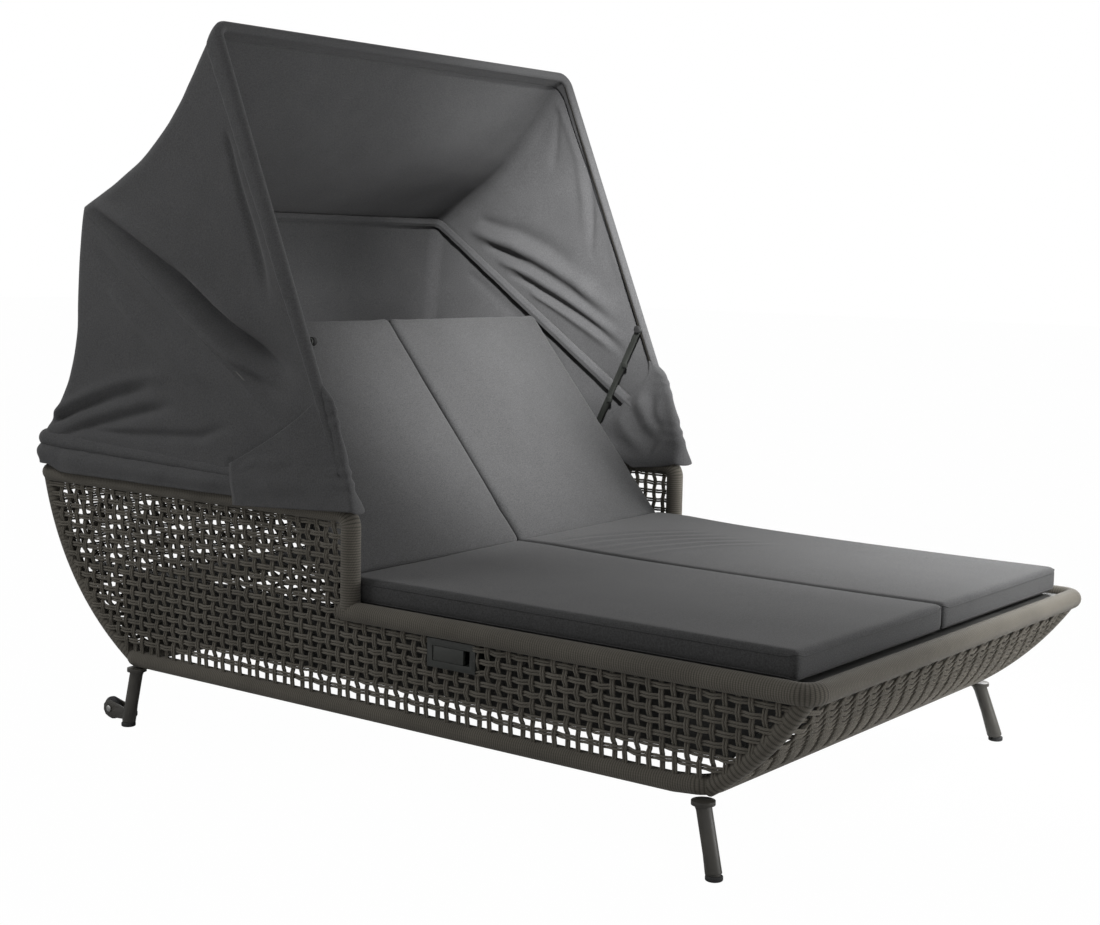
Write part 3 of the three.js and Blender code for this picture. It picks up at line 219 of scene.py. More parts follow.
def rope_material(name, colour, around, along, shaded_grooves):
    """Twisted rope: the yarns run round the rope by the attribute that its mesh carries. Wound rope counts its
    windings along the tube, and has painted shade in the grooves between them."""
    tree, surface = blank_material(name, 0.88, sheen=0.1, specular=0.25)
    parts = carried_run(tree, "rope_run")
    turn = maths(tree, "ARCTAN2", parts[1], parts[0])
    phase = maths(tree, "ADD", maths(tree, "MULTIPLY", turn, around), maths(tree, "MULTIPLY", parts[2], along))
    yarn = maths(tree, "MULTIPLY_ADD", maths(tree, "SINE", phase), 0.5, 0.5)
    place = object_place(tree)
    broad = spread(tree, noise_at(tree, place, 9.0, 3.0), 0.35, 0.65)
    fine = noise_at(tree, place, 520.0)
    tint = mixed(tree, 0.45, varied(tree, broad, colour, 0.82, 1.18), varied(tree, fine, colour, 0.45, 1.55))
    tint = mixed(tree, 0.8, tint, mixed(tree, yarn, grey(0.72), grey(1)), "MULTIPLY")
    if shaded_grooves:
        # Painted shade: the colour darkens to 0.3 of itself between the windings, where the grooves lie in shade
        crest = maths(tree, "ABSOLUTE", maths(tree, "SINE", maths(tree, "MULTIPLY", parts[2], math.pi)))
        groove = mixed(tree, maths(tree, "POWER", crest, 0.6), grey(0.30), grey(1))
        tint = mixed(tree, 1.0, tint, groove, "MULTIPLY")
    tree.links.new(tint, surface.inputs["Base Color"])
    bumped(tree, surface, maths(tree, "ADD", yarn, maths(tree, "MULTIPLY", fine, 0.6)), 0.6, 0.0005)


def woven_material(name, colour, thread, contrast, sheen):
    """Melange cloth: crossing threads on the cloth's own run, and specks of lighter and darker yarn."""
    tree, surface = blank_material(name, 0.92, sheen=sheen, specular=0.2)
    parts = carried_run(tree, "cloth_run")
    warp, weft = (maths(tree, "SINE", maths(tree, "MULTIPLY", part, 2 * math.pi / thread)) for part in parts[:2])
    weave = maths(tree, "MULTIPLY", warp, weft)
    place = object_place(tree)
    speck = spread(tree, noise_at(tree, place, 330.0, 3.0), 0.30, 0.70)
    cloud = spread(tree, noise_at(tree, place, 16.0, 3.0), 0.35, 0.65)
    tint = mixed(tree, 0.62, varied(tree, cloud, colour, 0.93, 1.07),
                 varied(tree, speck, colour, 1 - contrast, 1 + contrast))
    tree.links.new(tint, surface.inputs["Base Color"])
    bumped(tree, surface, maths(tree, "ADD", maths(tree, "MULTIPLY", weave, 0.2), speck), 0.30, 0.0005)


def painted_material(name, colour, roughness, metallic, grain):
    """Powder coat, moulded plastic or metal: a fine grain, with a slight change of colour and gloss."""
    tree, surface = blank_material(name, roughness, metallic)
    place = object_place(tree)
    cloud = spread(tree, noise_at(tree, place, 22.0, 4.0), 0.35, 0.65)
    tree.links.new(varied(tree, cloud, colour, 0.88, 1.12), surface.inputs["Base Color"])
    gloss = add_node(tree, "ShaderNodeMapRange", {0: cloud, 3: roughness - 0.06, 4: roughness + 0.06})
    tree.links.new(gloss.outputs[0], surface.inputs["Roughness"])
    bumped(tree, surface, noise_at(tree, place, grain), 0.25, 0.0003)


def finishes():
    """All materials of the object, made once."""
    if "twisted rope" not in bpy.data.materials:
        colours = bpy.context.scene.daybed_finish
        # Yarns round the rope, turns along it, and whether the grooves between windings get painted shade
        rope_material("twisted rope", colours.rope, 3, 900.0, False)
        rope_material("wound rope", colours.rope, 40, 3.1, True)
        # Thread width, contrast of the specks, and sheen
        woven_material("cushion cover", colours.cushion, 0.0016, 0.42, 0.12)
        woven_material("cushion seam", [channel * 0.9 for channel in colours.cushion], 0.0012, 0.30, 0.12)
        woven_material("canopy cloth", colours.canopy, 0.0011, 0.30, 0.1)
        # Roughness, metallic and scale of the grain
        painted_material("powder coat", colours.metal, 0.46, 0.0, 900.0)
        painted_material("deck metal", colours.deck, 0.50, 0.35, 700.0)
        painted_material("bare steel", colours.steel, 0.32, 0.95, 300.0)
        painted_material("moulded plastic", colours.plastic, 0.52, 0.0, 1300.0)
        painted_material("soft rubber", colours.rubber, 0.80, 0.0, 800.0)
    return bpy.data.materials


# Meshes


# Edges sharper than this aren't shaded smooth
SHARP = math.radians(40)


def mesh_object(name, points, faces, material, smooth=True, edges=()):
    mesh = bpy.data.meshes.new(name)
    mesh.from_pydata([tuple(p) for p in points], list(edges), [tuple(f) for f in faces])
    mesh.update()
    if material:
        mesh.materials.append(finishes()[material])
    if smooth:
        mesh.shade_smooth()
    piece = bpy.data.objects.new(name, mesh)
    bpy.context.scene.collection.objects.link(piece)
    return piece


def made_plain(piece):
    """Turns a piece with modifiers into a plain mesh."""
    graph = bpy.context.evaluated_depsgraph_get()
    mesh = bpy.data.meshes.new_from_object(piece.evaluated_get(graph), preserve_all_data_layers=True,
                                           depsgraph=graph)
    old = piece.data
    piece.modifiers.clear()
    piece.data = mesh
    bpy.data.meshes.remove(old)
    return piece


def face_outwards(piece):
    shell = bmesh.new()
    shell.from_mesh(piece.data)
    bmesh.ops.remove_doubles(shell, verts=shell.verts, dist=1e-6)
    bmesh.ops.recalc_face_normals(shell, faces=shell.faces)
    shell.to_mesh(piece.data)
    shell.free()
    return piece


def joined(name, pieces):
    """Joins several objects into the first one."""
    with bpy.context.temp_override(active_object=pieces[0], object=pieces[0], selected_objects=pieces,
                                   selected_editable_objects=pieces):
        bpy.ops.object.join()
    pieces[0].name = name
    return pieces[0]


def finished(piece, body, slot, *nodes):
    """Puts a finished piece on its body and hides the nodes that it stands for. Its slot is not used."""
    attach(piece, body)
    if nodes:
        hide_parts(*nodes)


def set_cloth_run(piece, run):
    """Stores where each point lies on the cloth before it was sewn, for the weave to follow."""
    carried = piece.data.attributes.new("cloth_run", "FLOAT_VECTOR", "POINT")
    carried.data.foreach_set("vector", np.asarray(run, np.float32).ravel())


def softened(node, material, width, segments=2, angle=50):
    """A merged copy of a solid node with its sharp edges rounded."""
    shell = bmesh.new()
    shell.from_mesh(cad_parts[node].data)
    bmesh.ops.remove_doubles(shell, verts=shell.verts, dist=2e-6)
    bmesh.ops.dissolve_limit(shell, angle_limit=math.radians(1), verts=shell.verts, edges=shell.edges)
    mesh = bpy.data.meshes.new(node)
    shell.to_mesh(mesh)
    shell.free()
    mesh.materials.clear()
    mesh.materials.append(finishes()[material])
    piece = bpy.data.objects.new(f"{node}.finished", mesh)
    bpy.context.scene.collection.objects.link(piece)
    if width:
        bevel = piece.modifiers.new("rounded edges", "BEVEL")
        bevel.width, bevel.segments, bevel.limit_method = width, segments, "ANGLE"
        bevel.angle_limit = math.radians(angle)
        bevel.use_clamp_overlap = True
        made_plain(piece)
    piece.data.shade_smooth()
    piece.data.set_sharp_from_angle(angle=SHARP)
    return piece


def stand_in(node, body, slot, material, *edges):
    """Puts a softened copy of a solid node in that node's place."""
    finished(softened(node, material, *edges), body, slot, node)


# Sizes of the body's details

# The low rail runs on into the post. The base rail's foot end stands a little higher than its sides.
LOW_RAIL_IN_POST = 0.020
BASE_LIFT, BASE_LIFT_RUN = 0.007, 0.08

# The weave lies outside the middle of the rails, and turns from one slope to the other near the post
WEAVE_OFF, POST_BLEND = 0.006, 0.10
# Where the nets' columns and rows start, and how far they run in behind the handle's housing
FIRST_COLUMN, FIRST_ROW = POST_Y - 0.016, 0.2035
END_HALF, END_FIRST_ROW, END_ROW_STRETCH = 0.575, 0.0325, 1.04
COLUMN_LAP, ROW_LAP, SHORTEST_STRAND = 0.004, 0.006, 0.03

# The legs' tops and feet, and the tube's radius at shares of its length
LEG_TOP_X, LEG_TOP_Z, LEG_FOOT_X, LEG_FOOT_Z = 0.620, 0.134, 0.6388, 0.0105
LEG_Y = {"foot": (-0.850, -0.890), "head": (0.747, 0.756)}
LEG_SHARES = (0, 0.04, 0.08, 0.5, 0.985, 1)
LEG_RADII = (0.0172, 0.0166, 0.0154, 0.0154, 0.0154, 0.0150)
# A leg's plate, above this height, shows smaller than the solid's, which is cut level with the base rail
PLATE_Z, PLATE_SHARE = 0.118, 0.72
GLIDE_HEIGHTS = (0, 0.0008, 0.0022, 0.0075, 0.0092)
GLIDE_RADII = (0.0150, 0.0163, 0.0170, 0.0170, 0.0160, 0.0154)

# Boards that close the deck behind the slanted foot wall, with their outlines in y and z
BOARD_INNER, BOARD_OUTER = 0.594, 0.602
SIDE_BOARD = [(-0.780, 0.222), (-0.893, 0.222), (-1.028, 0.358), (-0.780, 0.358)]
FOOT_BOARD = [(-0.893, 0.222), (-1.028, 0.358), (-1.022, 0.358), (-0.887, 0.222)]


# Rope


def new_geometry_tree(name, sockets):
    tree = bpy.data.node_groups.new(name, "GeometryNodeTree")
    tree.interface.new_socket("Geometry", in_out="INPUT", socket_type="NodeSocketGeometry")
    for label, kind in sockets:
        tree.interface.new_socket(label, in_out="INPUT", socket_type=kind)
    tree.interface.new_socket("Geometry", in_out="OUTPUT", socket_type="NodeSocketGeometry")
    return tree, add_node(tree, "NodeGroupInput").outputs


def swept_rope(tree, path, radius, facets, run_length):
    """Sweeps a round section along a path and stores its run as (cos, sin, length)."""
    circle = add_node(tree, "GeometryNodeCurvePrimitiveCircle", {"Resolution": facets, "Radius": radius})
    place = add_node(tree, "GeometryNodeInputPosition").outputs[0]
    section = add_node(tree, "GeometryNodeCaptureAttribute", {"Geometry": circle.outputs[0]})
    section.capture_items.new("VECTOR", "section")
    tree.links.new(place, section.inputs["section"])
    line = add_node(tree, "GeometryNodeCaptureAttribute", {"Geometry": path})
    line.capture_items.new("FLOAT", "run")
    tree.links.new(run_length, line.inputs["run"])
    swept = add_node(tree, "GeometryNodeCurveToMesh", {
        "Curve": line.outputs[0], "Profile Curve": section.outputs[0], "Fill Caps": True})
    parts = add_node(tree, "ShaderNodeSeparateXYZ", {0: section.outputs["section"]}).outputs
    run = add_node(tree, "ShaderNodeCombineXYZ", {0: parts[0], 1: parts[1], 2: line.outputs["run"]})
    stored = add_node(tree, "GeometryNodeStoreNamedAttribute", {"Geometry": swept.outputs[0],
                                                               "Name": "rope_run"}, data_type="FLOAT_VECTOR")
    tree.links.new(run.outputs[0], stored.inputs["Value"])
    return stored.outputs[0]


def close_tree(tree, geometry, material):
    smooth = add_node(tree, "GeometryNodeSetShadeSmooth", {"Geometry": geometry})
    real = add_node(tree, "GeometryNodeRealizeInstances", {"Geometry": smooth.outputs[0]})
    finish = add_node(tree, "GeometryNodeSetMaterial", {"Geometry": real.outputs[0], "Material": material})
    add_node(tree, "NodeGroupOutput", {0: finish.outputs[0]})


def woven_tree():
    """Pairs of ropes along guide lines, which pass over and under the lines that they cross."""
    tree, given = new_geometry_tree("rope pairs, over and under", [
        ("Rope Diameter", "NodeSocketFloat"), ("Pair Distance", "NodeSocketFloat"),
        ("Weave Depth", "NodeSocketFloat"), ("Facets", "NodeSocketInt"), ("Finish", "NodeSocketMaterial")])

    def carried(name, kind):
        return add_node(tree, "GeometryNodeInputNamedAttribute", {"Name": name}, data_type=kind).outputs[0]

    depth = maths(tree, "MULTIPLY", carried("wave", "FLOAT"), given["Weave Depth"])
    lift = add_node(tree, "ShaderNodeVectorMath", {0: carried("outward", "FLOAT_VECTOR")}, operation="SCALE")
    tree.links.new(depth, lift.inputs["Scale"])
    pairs = add_node(tree, "GeometryNodeJoinGeometry")
    for side in (-0.5, 0.5):
        aside = add_node(tree, "ShaderNodeVectorMath", {0: carried("aside", "FLOAT_VECTOR")}, operation="SCALE")
        tree.links.new(maths(tree, "MULTIPLY", given["Pair Distance"], side), aside.inputs["Scale"])
        shift = add_node(tree, "ShaderNodeVectorMath", {0: lift.outputs[0], 1: aside.outputs[0]})
        moved = add_node(tree, "GeometryNodeSetPosition", {"Geometry": given["Geometry"],
                                                           "Offset": shift.outputs[0]})
        tree.links.new(moved.outputs[0], pairs.inputs[0])
    line = add_node(tree, "GeometryNodeMeshToCurve", {"Mesh": pairs.outputs[0]})
    bent = add_node(tree, "GeometryNodeCurveSplineType", {"Curve": line.outputs[0]}, spline_type="CATMULL_ROM")
    fine = add_node(tree, "GeometryNodeSetSplineResolution", {0: bent.outputs[0], 2: 2})
    run = add_node(tree, "GeometryNodeSplineParameter").outputs["Length"]
    radius = maths(tree, "MULTIPLY", given["Rope Diameter"], 0.5)
    close_tree(tree, swept_rope(tree, fine.outputs[0], radius, given["Facets"], run), given["Finish"])
    return tree


def wound_tree():
    """A tube with rope wound closely round it along a guide line."""
    tree, given = new_geometry_tree("rope wound on a tube", [
        ("Tube Diameter", "NodeSocketFloat"), ("Rope Diameter", "NodeSocketFloat"),
        ("Facets", "NodeSocketInt"), ("Finish", "NodeSocketMaterial")])
    line = add_node(tree, "GeometryNodeMeshToCurve", {"Mesh": given["Geometry"]})
    fine = add_node(tree, "GeometryNodeResampleCurve", {"Curve": line.outputs[0]}, mode="LENGTH")
    tree.links.new(maths(tree, "MULTIPLY", given["Rope Diameter"], 0.25), fine.inputs["Length"])
    run = add_node(tree, "GeometryNodeSplineParameter").outputs["Length"]
    windings = maths(tree, "DIVIDE", run, given["Rope Diameter"])
    phase = maths(tree, "MULTIPLY", windings, math.pi)
    swell = maths(tree, "POWER", maths(tree, "ABSOLUTE", maths(tree, "SINE", phase)), 0.75)
    groove = maths(tree, "DIVIDE", given["Rope Diameter"], given["Tube Diameter"])
    place = add_node(tree, "GeometryNodeInputPosition").outputs[0]
    uneven = add_node(tree, "ShaderNodeTexNoise", {"Vector": place, "Scale": 60.0}).outputs[0]
    valley = maths(tree, "MULTIPLY", maths(tree, "SUBTRACT", 1.0, swell), maths(tree, "MULTIPLY", groove, 0.7))
    size = maths(tree, "SUBTRACT", maths(tree, "SUBTRACT", 1.012, valley), maths(tree, "MULTIPLY", uneven, 0.03))
    sized = add_node(tree, "GeometryNodeSetCurveRadius", {"Curve": fine.outputs[0], "Radius": size})
    radius = maths(tree, "MULTIPLY", given["Tube Diameter"], 0.5)
    close_tree(tree, swept_rope(tree, sized.outputs[0], radius, given["Facets"], windings), given["Finish"])
    return tree


def run_tree(piece, tree, values):
    """Runs a geometry tree on a guide mesh with named inputs, and leaves a plain mesh."""
    modifier = piece.modifiers.new(tree.name, "NODES")
    modifier.node_group = tree
    for item in tree.interface.items_tree:
        if item.item_type == "SOCKET" and item.in_out == "INPUT" and item.name in values:
            modifier[item.identifier] = values[item.name]
    return made_plain(piece)


def shared_tree(name, maker):
    return bpy.data.node_groups.get(name) or maker()


def guide(name, lines, cyclic=False):
    points, edges = [], []
    for line in lines:
        start = len(points)
        points.extend(line)
        edges.extend((start + i, start + i + 1) for i in range(len(line) - 1))
        if cyclic:
            edges.append((len(points) - 1, start))
    return mesh_object(name, points, [], None, False, edges)


def wound(name, lines, diameter, cyclic=False, rope=None, facets=18, finish="wound rope"):
    """Rope or thread wound closely along guide lines."""
    return run_tree(guide(name, lines, cyclic), shared_tree("rope wound on a tube", wound_tree), {
        "Tube Diameter": diameter, "Rope Diameter": rope or bpy.context.scene.daybed_rope.rope,
        "Facets": facets, "Finish": finishes()[finish]})


def rounded_line(corners, radius, steps=10, cyclic=False):
    """Points along straight runs whose corners are turned on a radius."""
    corners = [Vector(c) for c in corners]
    count = len(corners)
    inner = range(count) if cyclic else range(1, count - 1)
    line = [] if cyclic else [corners[0]]
    for index in inner:
        here, before, after = corners[index], corners[index - 1], corners[(index + 1) % count]
        inward, outward = (here - before).normalized(), (after - here).normalized()
        turn = inward.angle(outward)
        start = here - inward * radius * math.tan(turn / 2)
        side = (outward - inward * outward.dot(inward)).normalized()
        centre = start + side * radius
        for step in range(steps + 1):
            angle = turn * step / steps
            line.append(centre - side * radius * math.cos(angle) + inward * radius * math.sin(angle))
    if not cyclic:
        line.append(corners[-1])
    return line


def both_sides(half):
    """A line from its right half, continued on the left."""
    return half + [(-x, y, z) for x, y, z in reversed(half)]


def densified(line, step, cyclic=False):
    """The points of a line, with others between them where they lie more than a step apart."""
    dense = []
    for start, end in zip(line, line[1:] + line[:1] if cyclic else line[1:]):
        count = max(1, int((end - start).length / step))
        dense.extend(start.lerp(end, k / count) for k in range(count))
    return dense if cyclic else dense + line[-1:]


def eased(share):
    """A share from 0 to 1 with a smooth start and end."""
    return share * share * (3 - 2 * share)


def wall_point(low, high, share, bow):
    """A point in y and z on a bowed line from low to high."""
    run, rise = high[0] - low[0], high[1] - low[1]
    long = math.hypot(run, rise)
    out = bow * 4 * share * (1 - share)
    return low[0] + run * share + out * rise / long, low[1] + rise * share - out * run / long


def foot_corner(share):
    return wall_point((BASE_FOOT_Y + BASE_CORNER * CORNER_SHARE, BASE_Z),
                      (FOOT_Y + TOP_CORNER * CORNER_SHARE, LOW_Z), share, FOOT_BOW)


def head_corner(share):
    return wall_point((BASE_HEAD_Y - BASE_CORNER * CORNER_SHARE, BASE_Z),
                      (HEAD_Y - TOP_CORNER * CORNER_SHARE, HIGH_Z), share, HEAD_BOW)


def corner_x(share):
    low = BASE_X - BASE_CORNER * CORNER_SHARE
    return low + (RAIL_X - TOP_CORNER * CORNER_SHARE - low) * share


def share_at_height(corner, height):
    low, high = 0.0, 1.0
    for _ in range(30):
        middle = (low + high) / 2
        low, high = (middle, high) if corner(middle)[1] < height else (low, middle)
    return low


class DAYBED_OT_rails(bpy.types.Operator):
    """Winds rope round the rails and corner tubes of the body"""
    bl_idname = "daybed.rails"
    bl_label = "Wound rails"

    def execute(self, context):
        sizes = context.scene.daybed_rope
        low_half = [(RAIL_X, POST_Y + LOW_RAIL_IN_POST, LOW_Z), (RAIL_X, FOOT_Y, LOW_Z)]
        low_rail = wound("low_rail.rope", [rounded_line(both_sides(low_half), TOP_CORNER)], sizes.rail)
        high_half = [(RAIL_X, POST_Y, LOW_Z), (RAIL_X, POST_Y, HIGH_Z), (RAIL_X, HEAD_Y, HIGH_Z)]
        high_rail = wound("high_rail.rope", [rounded_line(both_sides(high_half), TOP_CORNER)], sizes.rail)
        foot_half = [(BASE_X, BASE_FOOT_Y + BASE_LIFT_RUN, BASE_Z), (BASE_X, BASE_FOOT_Y, BASE_Z + BASE_LIFT)]
        base_line = both_sides(foot_half) + [(-BASE_X, BASE_HEAD_Y, BASE_Z), (BASE_X, BASE_HEAD_Y, BASE_Z)]
        base_rail = wound("base_rail.rope", [rounded_line(base_line, BASE_CORNER, cyclic=True)], sizes.base_rail,
                          cyclic=True)
        corners = [[(side * corner_x(step / 24), *corner(step / 24)) for step in range(25)]
                   for side in SIDES.values() for corner in (foot_corner, head_corner)]
        corner_tubes = wound("corner_tubes.rope", corners, sizes.corner, rope=sizes.rope * 2)
        finished(low_rail, "daybed", "rope", "seat_rail_right", "seat_rail_left")
        finished(high_rail, "daybed", "rope", "back_rail_right", "back_rail_left")
        finished(base_rail, "daybed", "rope", "base_rail_right", "base_rail_left")
        finished(corner_tubes, "daybed", "rope", "foot_frame", "head_frame")
        return {"FINISHED"}


def woven(name, strands):
    """Strands are lists of (point, outward, aside, wave)."""
    sizes = bpy.context.scene.daybed_rope
    strands = [strand for strand in strands if len(strand) > 2]
    piece = guide(name, [[knot[0] for knot in strand] for strand in strands])
    knots = [knot for strand in strands for knot in strand]
    for label, place in (("outward", 1), ("aside", 2)):
        carried = piece.data.attributes.new(label, "FLOAT_VECTOR", "POINT")
        carried.data.foreach_set("vector", np.array([tuple(k[place]) for k in knots], np.float32).ravel())
    carried = piece.data.attributes.new("wave", "FLOAT", "POINT")
    carried.data.foreach_set("value", np.array([k[3] for k in knots], np.float32))
    return run_tree(piece, shared_tree("rope pairs, over and under", woven_tree), {
        "Rope Diameter": sizes.rope, "Pair Distance": sizes.pair, "Weave Depth": sizes.depth,
        "Facets": sizes.facets, "Finish": finishes()["twisted rope"]})


def crossing_strays(seed, columns, rows, reach):
    """How far each crossing strays, by its column and row."""
    chance = random.Random(seed)
    return {(i, j): (chance.gauss(0, reach), chance.gauss(0, reach))
            for i in range(-2, columns + 3) for j in range(-2, rows + 3)}


def strand_marks(places, low, high):
    """Where a strand has knots, as (place, crossing): at its ends, its crossings and halfway between them."""
    marks = [(low, None)]
    for index, place in enumerate(places):
        if low < place < high:
            marks.append((place, index))
            if index + 1 < len(places) and places[index + 1] < high:
                marks.append(((place + places[index + 1]) / 2, None))
    return marks + [(high, None)]


def net_strands(surface, columns, rows, column_span, row_span, strays):
    """Both sets of strands of one net. The spans say where a column or a row starts and ends. A level strand
    passes under where the upright one passes over."""
    def crossing(i, j):
        if i is None or j is None:
            return (0, 0), 0.0
        return strays[i, j], 1.0 if (i + j) % 2 == 0 else -1.0

    upright, level = [], []
    for i, a in enumerate(columns):
        for span in column_span(a):
            strand = []
            for b, j in strand_marks(rows, *span):
                stray, wave = crossing(i, j)
                point, outward, along, _ = surface(a + stray[0], b)
                strand.append((point, outward, along, wave))
            upright.append(strand)
    for j, b in enumerate(rows):
        for span in row_span(b):
            strand = []
            for a, i in strand_marks(columns, *span):
                stray, wave = crossing(i, j)
                point, outward, _, up = surface(a, b + stray[1])
                strand.append((point, outward, up, -wave))
            level.append(strand)
    return upright, level


class DAYBED_OT_weave(bpy.types.Operator):
    """Weaves pairs of rope over and under between the rails"""
    bl_idname = "daybed.weave"
    bl_label = "Woven walls"

    def side_wall(self, sizes, name, side):
        """The wall of one side, in a part below the low rail and one below the raised rail."""
        def surface(y, z):
            low = BASE_X + (RAIL_X - BASE_X) * (z - BASE_Z) / (LOW_Z - BASE_Z)
            high = BASE_X + (RAIL_X - BASE_X) * (z - BASE_Z) / (HIGH_Z - BASE_Z)
            share = eased(min(1.0, max(0.0, (y - POST_Y + POST_BLEND) / (2 * POST_BLEND))))
            x = low + (high - low) * share + WEAVE_OFF
            return Vector((side * x, y, z)), Vector((side, 0, 0)), Vector((0, 1, 0)), Vector((0, 0, 1))

        def column_span(y):
            top, bottom = LOW_Z if y < POST_Y else HIGH_Z, BASE_Z
            for corner, end, way in ((foot_corner, BASE_FOOT_Y, -1), (head_corner, BASE_HEAD_Y, 1)):
                if way * (y - end) > 0:
                    line = [corner(step / 60) for step in range(61)]
                    bottom = np.interp(way * y, [way * p[0] for p in line], [p[1] for p in line])
            if top - bottom < SHORTEST_STRAND:
                return []
            if HANDLE_Y[0] < y < HANDLE_Y[1]:
                return [(bottom, HANDLE_Z[0] + COLUMN_LAP)]
            return [(bottom, top)]

        def row_span(z):
            foot = foot_corner(share_at_height(foot_corner, z))[0] if z < LOW_Z else POST_Y
            head = head_corner(share_at_height(head_corner, z))[0]
            if HANDLE_Z[0] - COLUMN_LAP < z < HANDLE_Z[1] + COLUMN_LAP:
                return [(foot, HANDLE_Y[0] + ROW_LAP), (HANDLE_Y[1] - ROW_LAP, head)]
            return [(foot, head)]

        columns = [FIRST_COLUMN + sizes.column * k for k in range(-37, 36)]
        rows = [FIRST_ROW + sizes.row * k for k in range(16)]
        strays = crossing_strays(11 if side > 0 else 12, len(columns), len(rows), sizes.stray)
        upright, level = net_strands(surface, columns, rows, column_span, row_span, strays)
        for part, node, below in (("low", "seat", True), ("high", "back", False)):
            strands = ([s for s in upright if (s[0][0].y < POST_Y) == below]
                       + [s for s in level if (s[0][0].z < LOW_Z - 0.02) == below])
            finished(woven(f"side_weave_{part}_{name}.rope", strands), "daybed", "rope",
                     f"side_weave_{node}_{name}")

    def end_wall(self, sizes, name, low, high, bow, seed):
        """The slanted wall of one end. The head end's, the larger one, is two pieces."""
        long = math.hypot(high[0] - low[0], high[1] - low[1])

        def surface(x, run):
            share = run / long
            y, z = wall_point(low, high, share, bow)
            next_y, next_z = wall_point(low, high, share + 0.01, bow)
            up = Vector((0, next_y - y, next_z - z)).normalized()
            outward = Vector((0, up.z, -up.y)) * math.copysign(1, bow)
            # The wall is drawn in at its sides, round the corner tubes
            half = corner_x(min(1.0, max(0.0, share)))
            near = max(0.0, 1 - (half - abs(x)) / 0.05)
            base = Vector((x, y, z)) + outward * (WEAVE_OFF - 2 * WEAVE_OFF * near * near)
            return base, outward, Vector((1, 0, 0)), up

        def row_span(run):
            half = corner_x(min(1.0, max(0.0, run / long)))
            return [(-half, half)]

        count = int(END_HALF / sizes.column)
        columns = [sizes.column * k for k in range(-count, count + 1)]
        pitch = sizes.row * END_ROW_STRETCH
        rows = [END_FIRST_ROW + pitch * k for k in range(int((long - 0.06) / pitch) + 1)]
        strays = crossing_strays(seed, len(columns), len(rows), sizes.stray)
        upright, level = net_strands(surface, columns, rows, lambda x: [(0.0, long)], row_span, strays)
        if bow > 0:
            finished(woven(f"{name}_upright.rope", upright), "daybed", "rope", name)
            finished(woven(f"{name}_level.rope", level), "daybed", "rope", name)
        else:
            finished(woven(f"{name}.rope", upright + level), "daybed", "rope", name)

    def execute(self, context):
        sizes = context.scene.daybed_rope
        for name, side in SIDES.items():
            self.side_wall(sizes, name, side)
        self.end_wall(sizes, "foot_weave", (BASE_FOOT_Y, BASE_Z), (FOOT_Y, LOW_Z), FOOT_BOW, 22)
        self.end_wall(sizes, "head_weave", (BASE_HEAD_Y, BASE_Z), (HEAD_Y, HIGH_Z), HEAD_BOW, 21)
        return {"FINISHED"}


# Legs, deck and handles


def turned(name, line, radii, material):
    """A capped round tube along a straight line, with a radius at each point."""
    points, faces, sides = [], [], 40
    along = (line[-1] - line[0]).normalized()
    first = (Vector((1, 0, 0)) - along * along.x).normalized()
    second = along.cross(first)
    for centre, radius in zip(line, radii):
        for side in range(sides):
            turn = 2 * math.pi * side / sides
            points.append(centre + (first * math.cos(turn) + second * math.sin(turn)) * radius)
    for ring in range(len(line) - 1):
        for side in range(sides):
            here, following = ring * sides + side, ring * sides + (side + 1) % sides
            faces.append((here, following, following + sides, here + sides))
    last = (len(line) - 1) * sides
    faces += [tuple(reversed(range(sides))), tuple(range(last, last + sides))]
    return face_outwards(mesh_object(name, points, faces, material))


class DAYBED_OT_legs(bpy.types.Operator):
    """Makes the splayed legs with their plates, forks, glides and wheels"""
    bl_idname = "daybed.legs"
    bl_label = "Legs and wheels"

    def leg(self, node, side, top_y, foot_y):
        """The solid's plate and fork, and a tube whose top flares under the plate."""
        coated = softened(node, "powder coat", 0.0012)
        for vertex in coated.data.vertices:
            if vertex.co.z > PLATE_Z:
                vertex.co.x = side * LEG_TOP_X + (vertex.co.x - side * LEG_TOP_X) * PLATE_SHARE
                vertex.co.y = top_y + (vertex.co.y - top_y) * PLATE_SHARE
        top = Vector((side * LEG_TOP_X, top_y, LEG_TOP_Z))
        foot = Vector((side * LEG_FOOT_X, foot_y, LEG_FOOT_Z))
        tube = turned("tube", [top.lerp(foot, share) for share in LEG_SHARES], LEG_RADII, "powder coat")
        tube.data.set_sharp_from_angle(angle=SHARP)
        finished(joined(f"{node}.coated", [coated, tube]), "daybed", "leg_metal", node)

    def glide(self, node):
        low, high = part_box(node)
        middle = (low + high) / 2
        line = [Vector((middle.x, middle.y, z)) for z in (*GLIDE_HEIGHTS, high.z)]
        finished(turned(f"{node}.rubber", line, GLIDE_RADII, "soft rubber"), "daybed", "rubber", node)

    def execute(self, context):
        for name, side in SIDES.items():
            for end, (top_y, foot_y) in LEG_Y.items():
                self.leg(f"{end}_leg_{name}", side, top_y, foot_y)
                self.glide(f"{end}_glide_{name}")
            stand_in(f"wheel_{name}", f"wheel_{name}", "rubber", "soft rubber", 0.0012, 2, 25)
            stand_in(f"wheel_axle_{name}", "daybed", "steel", "bare steel", 0.0008)
        return {"FINISHED"}


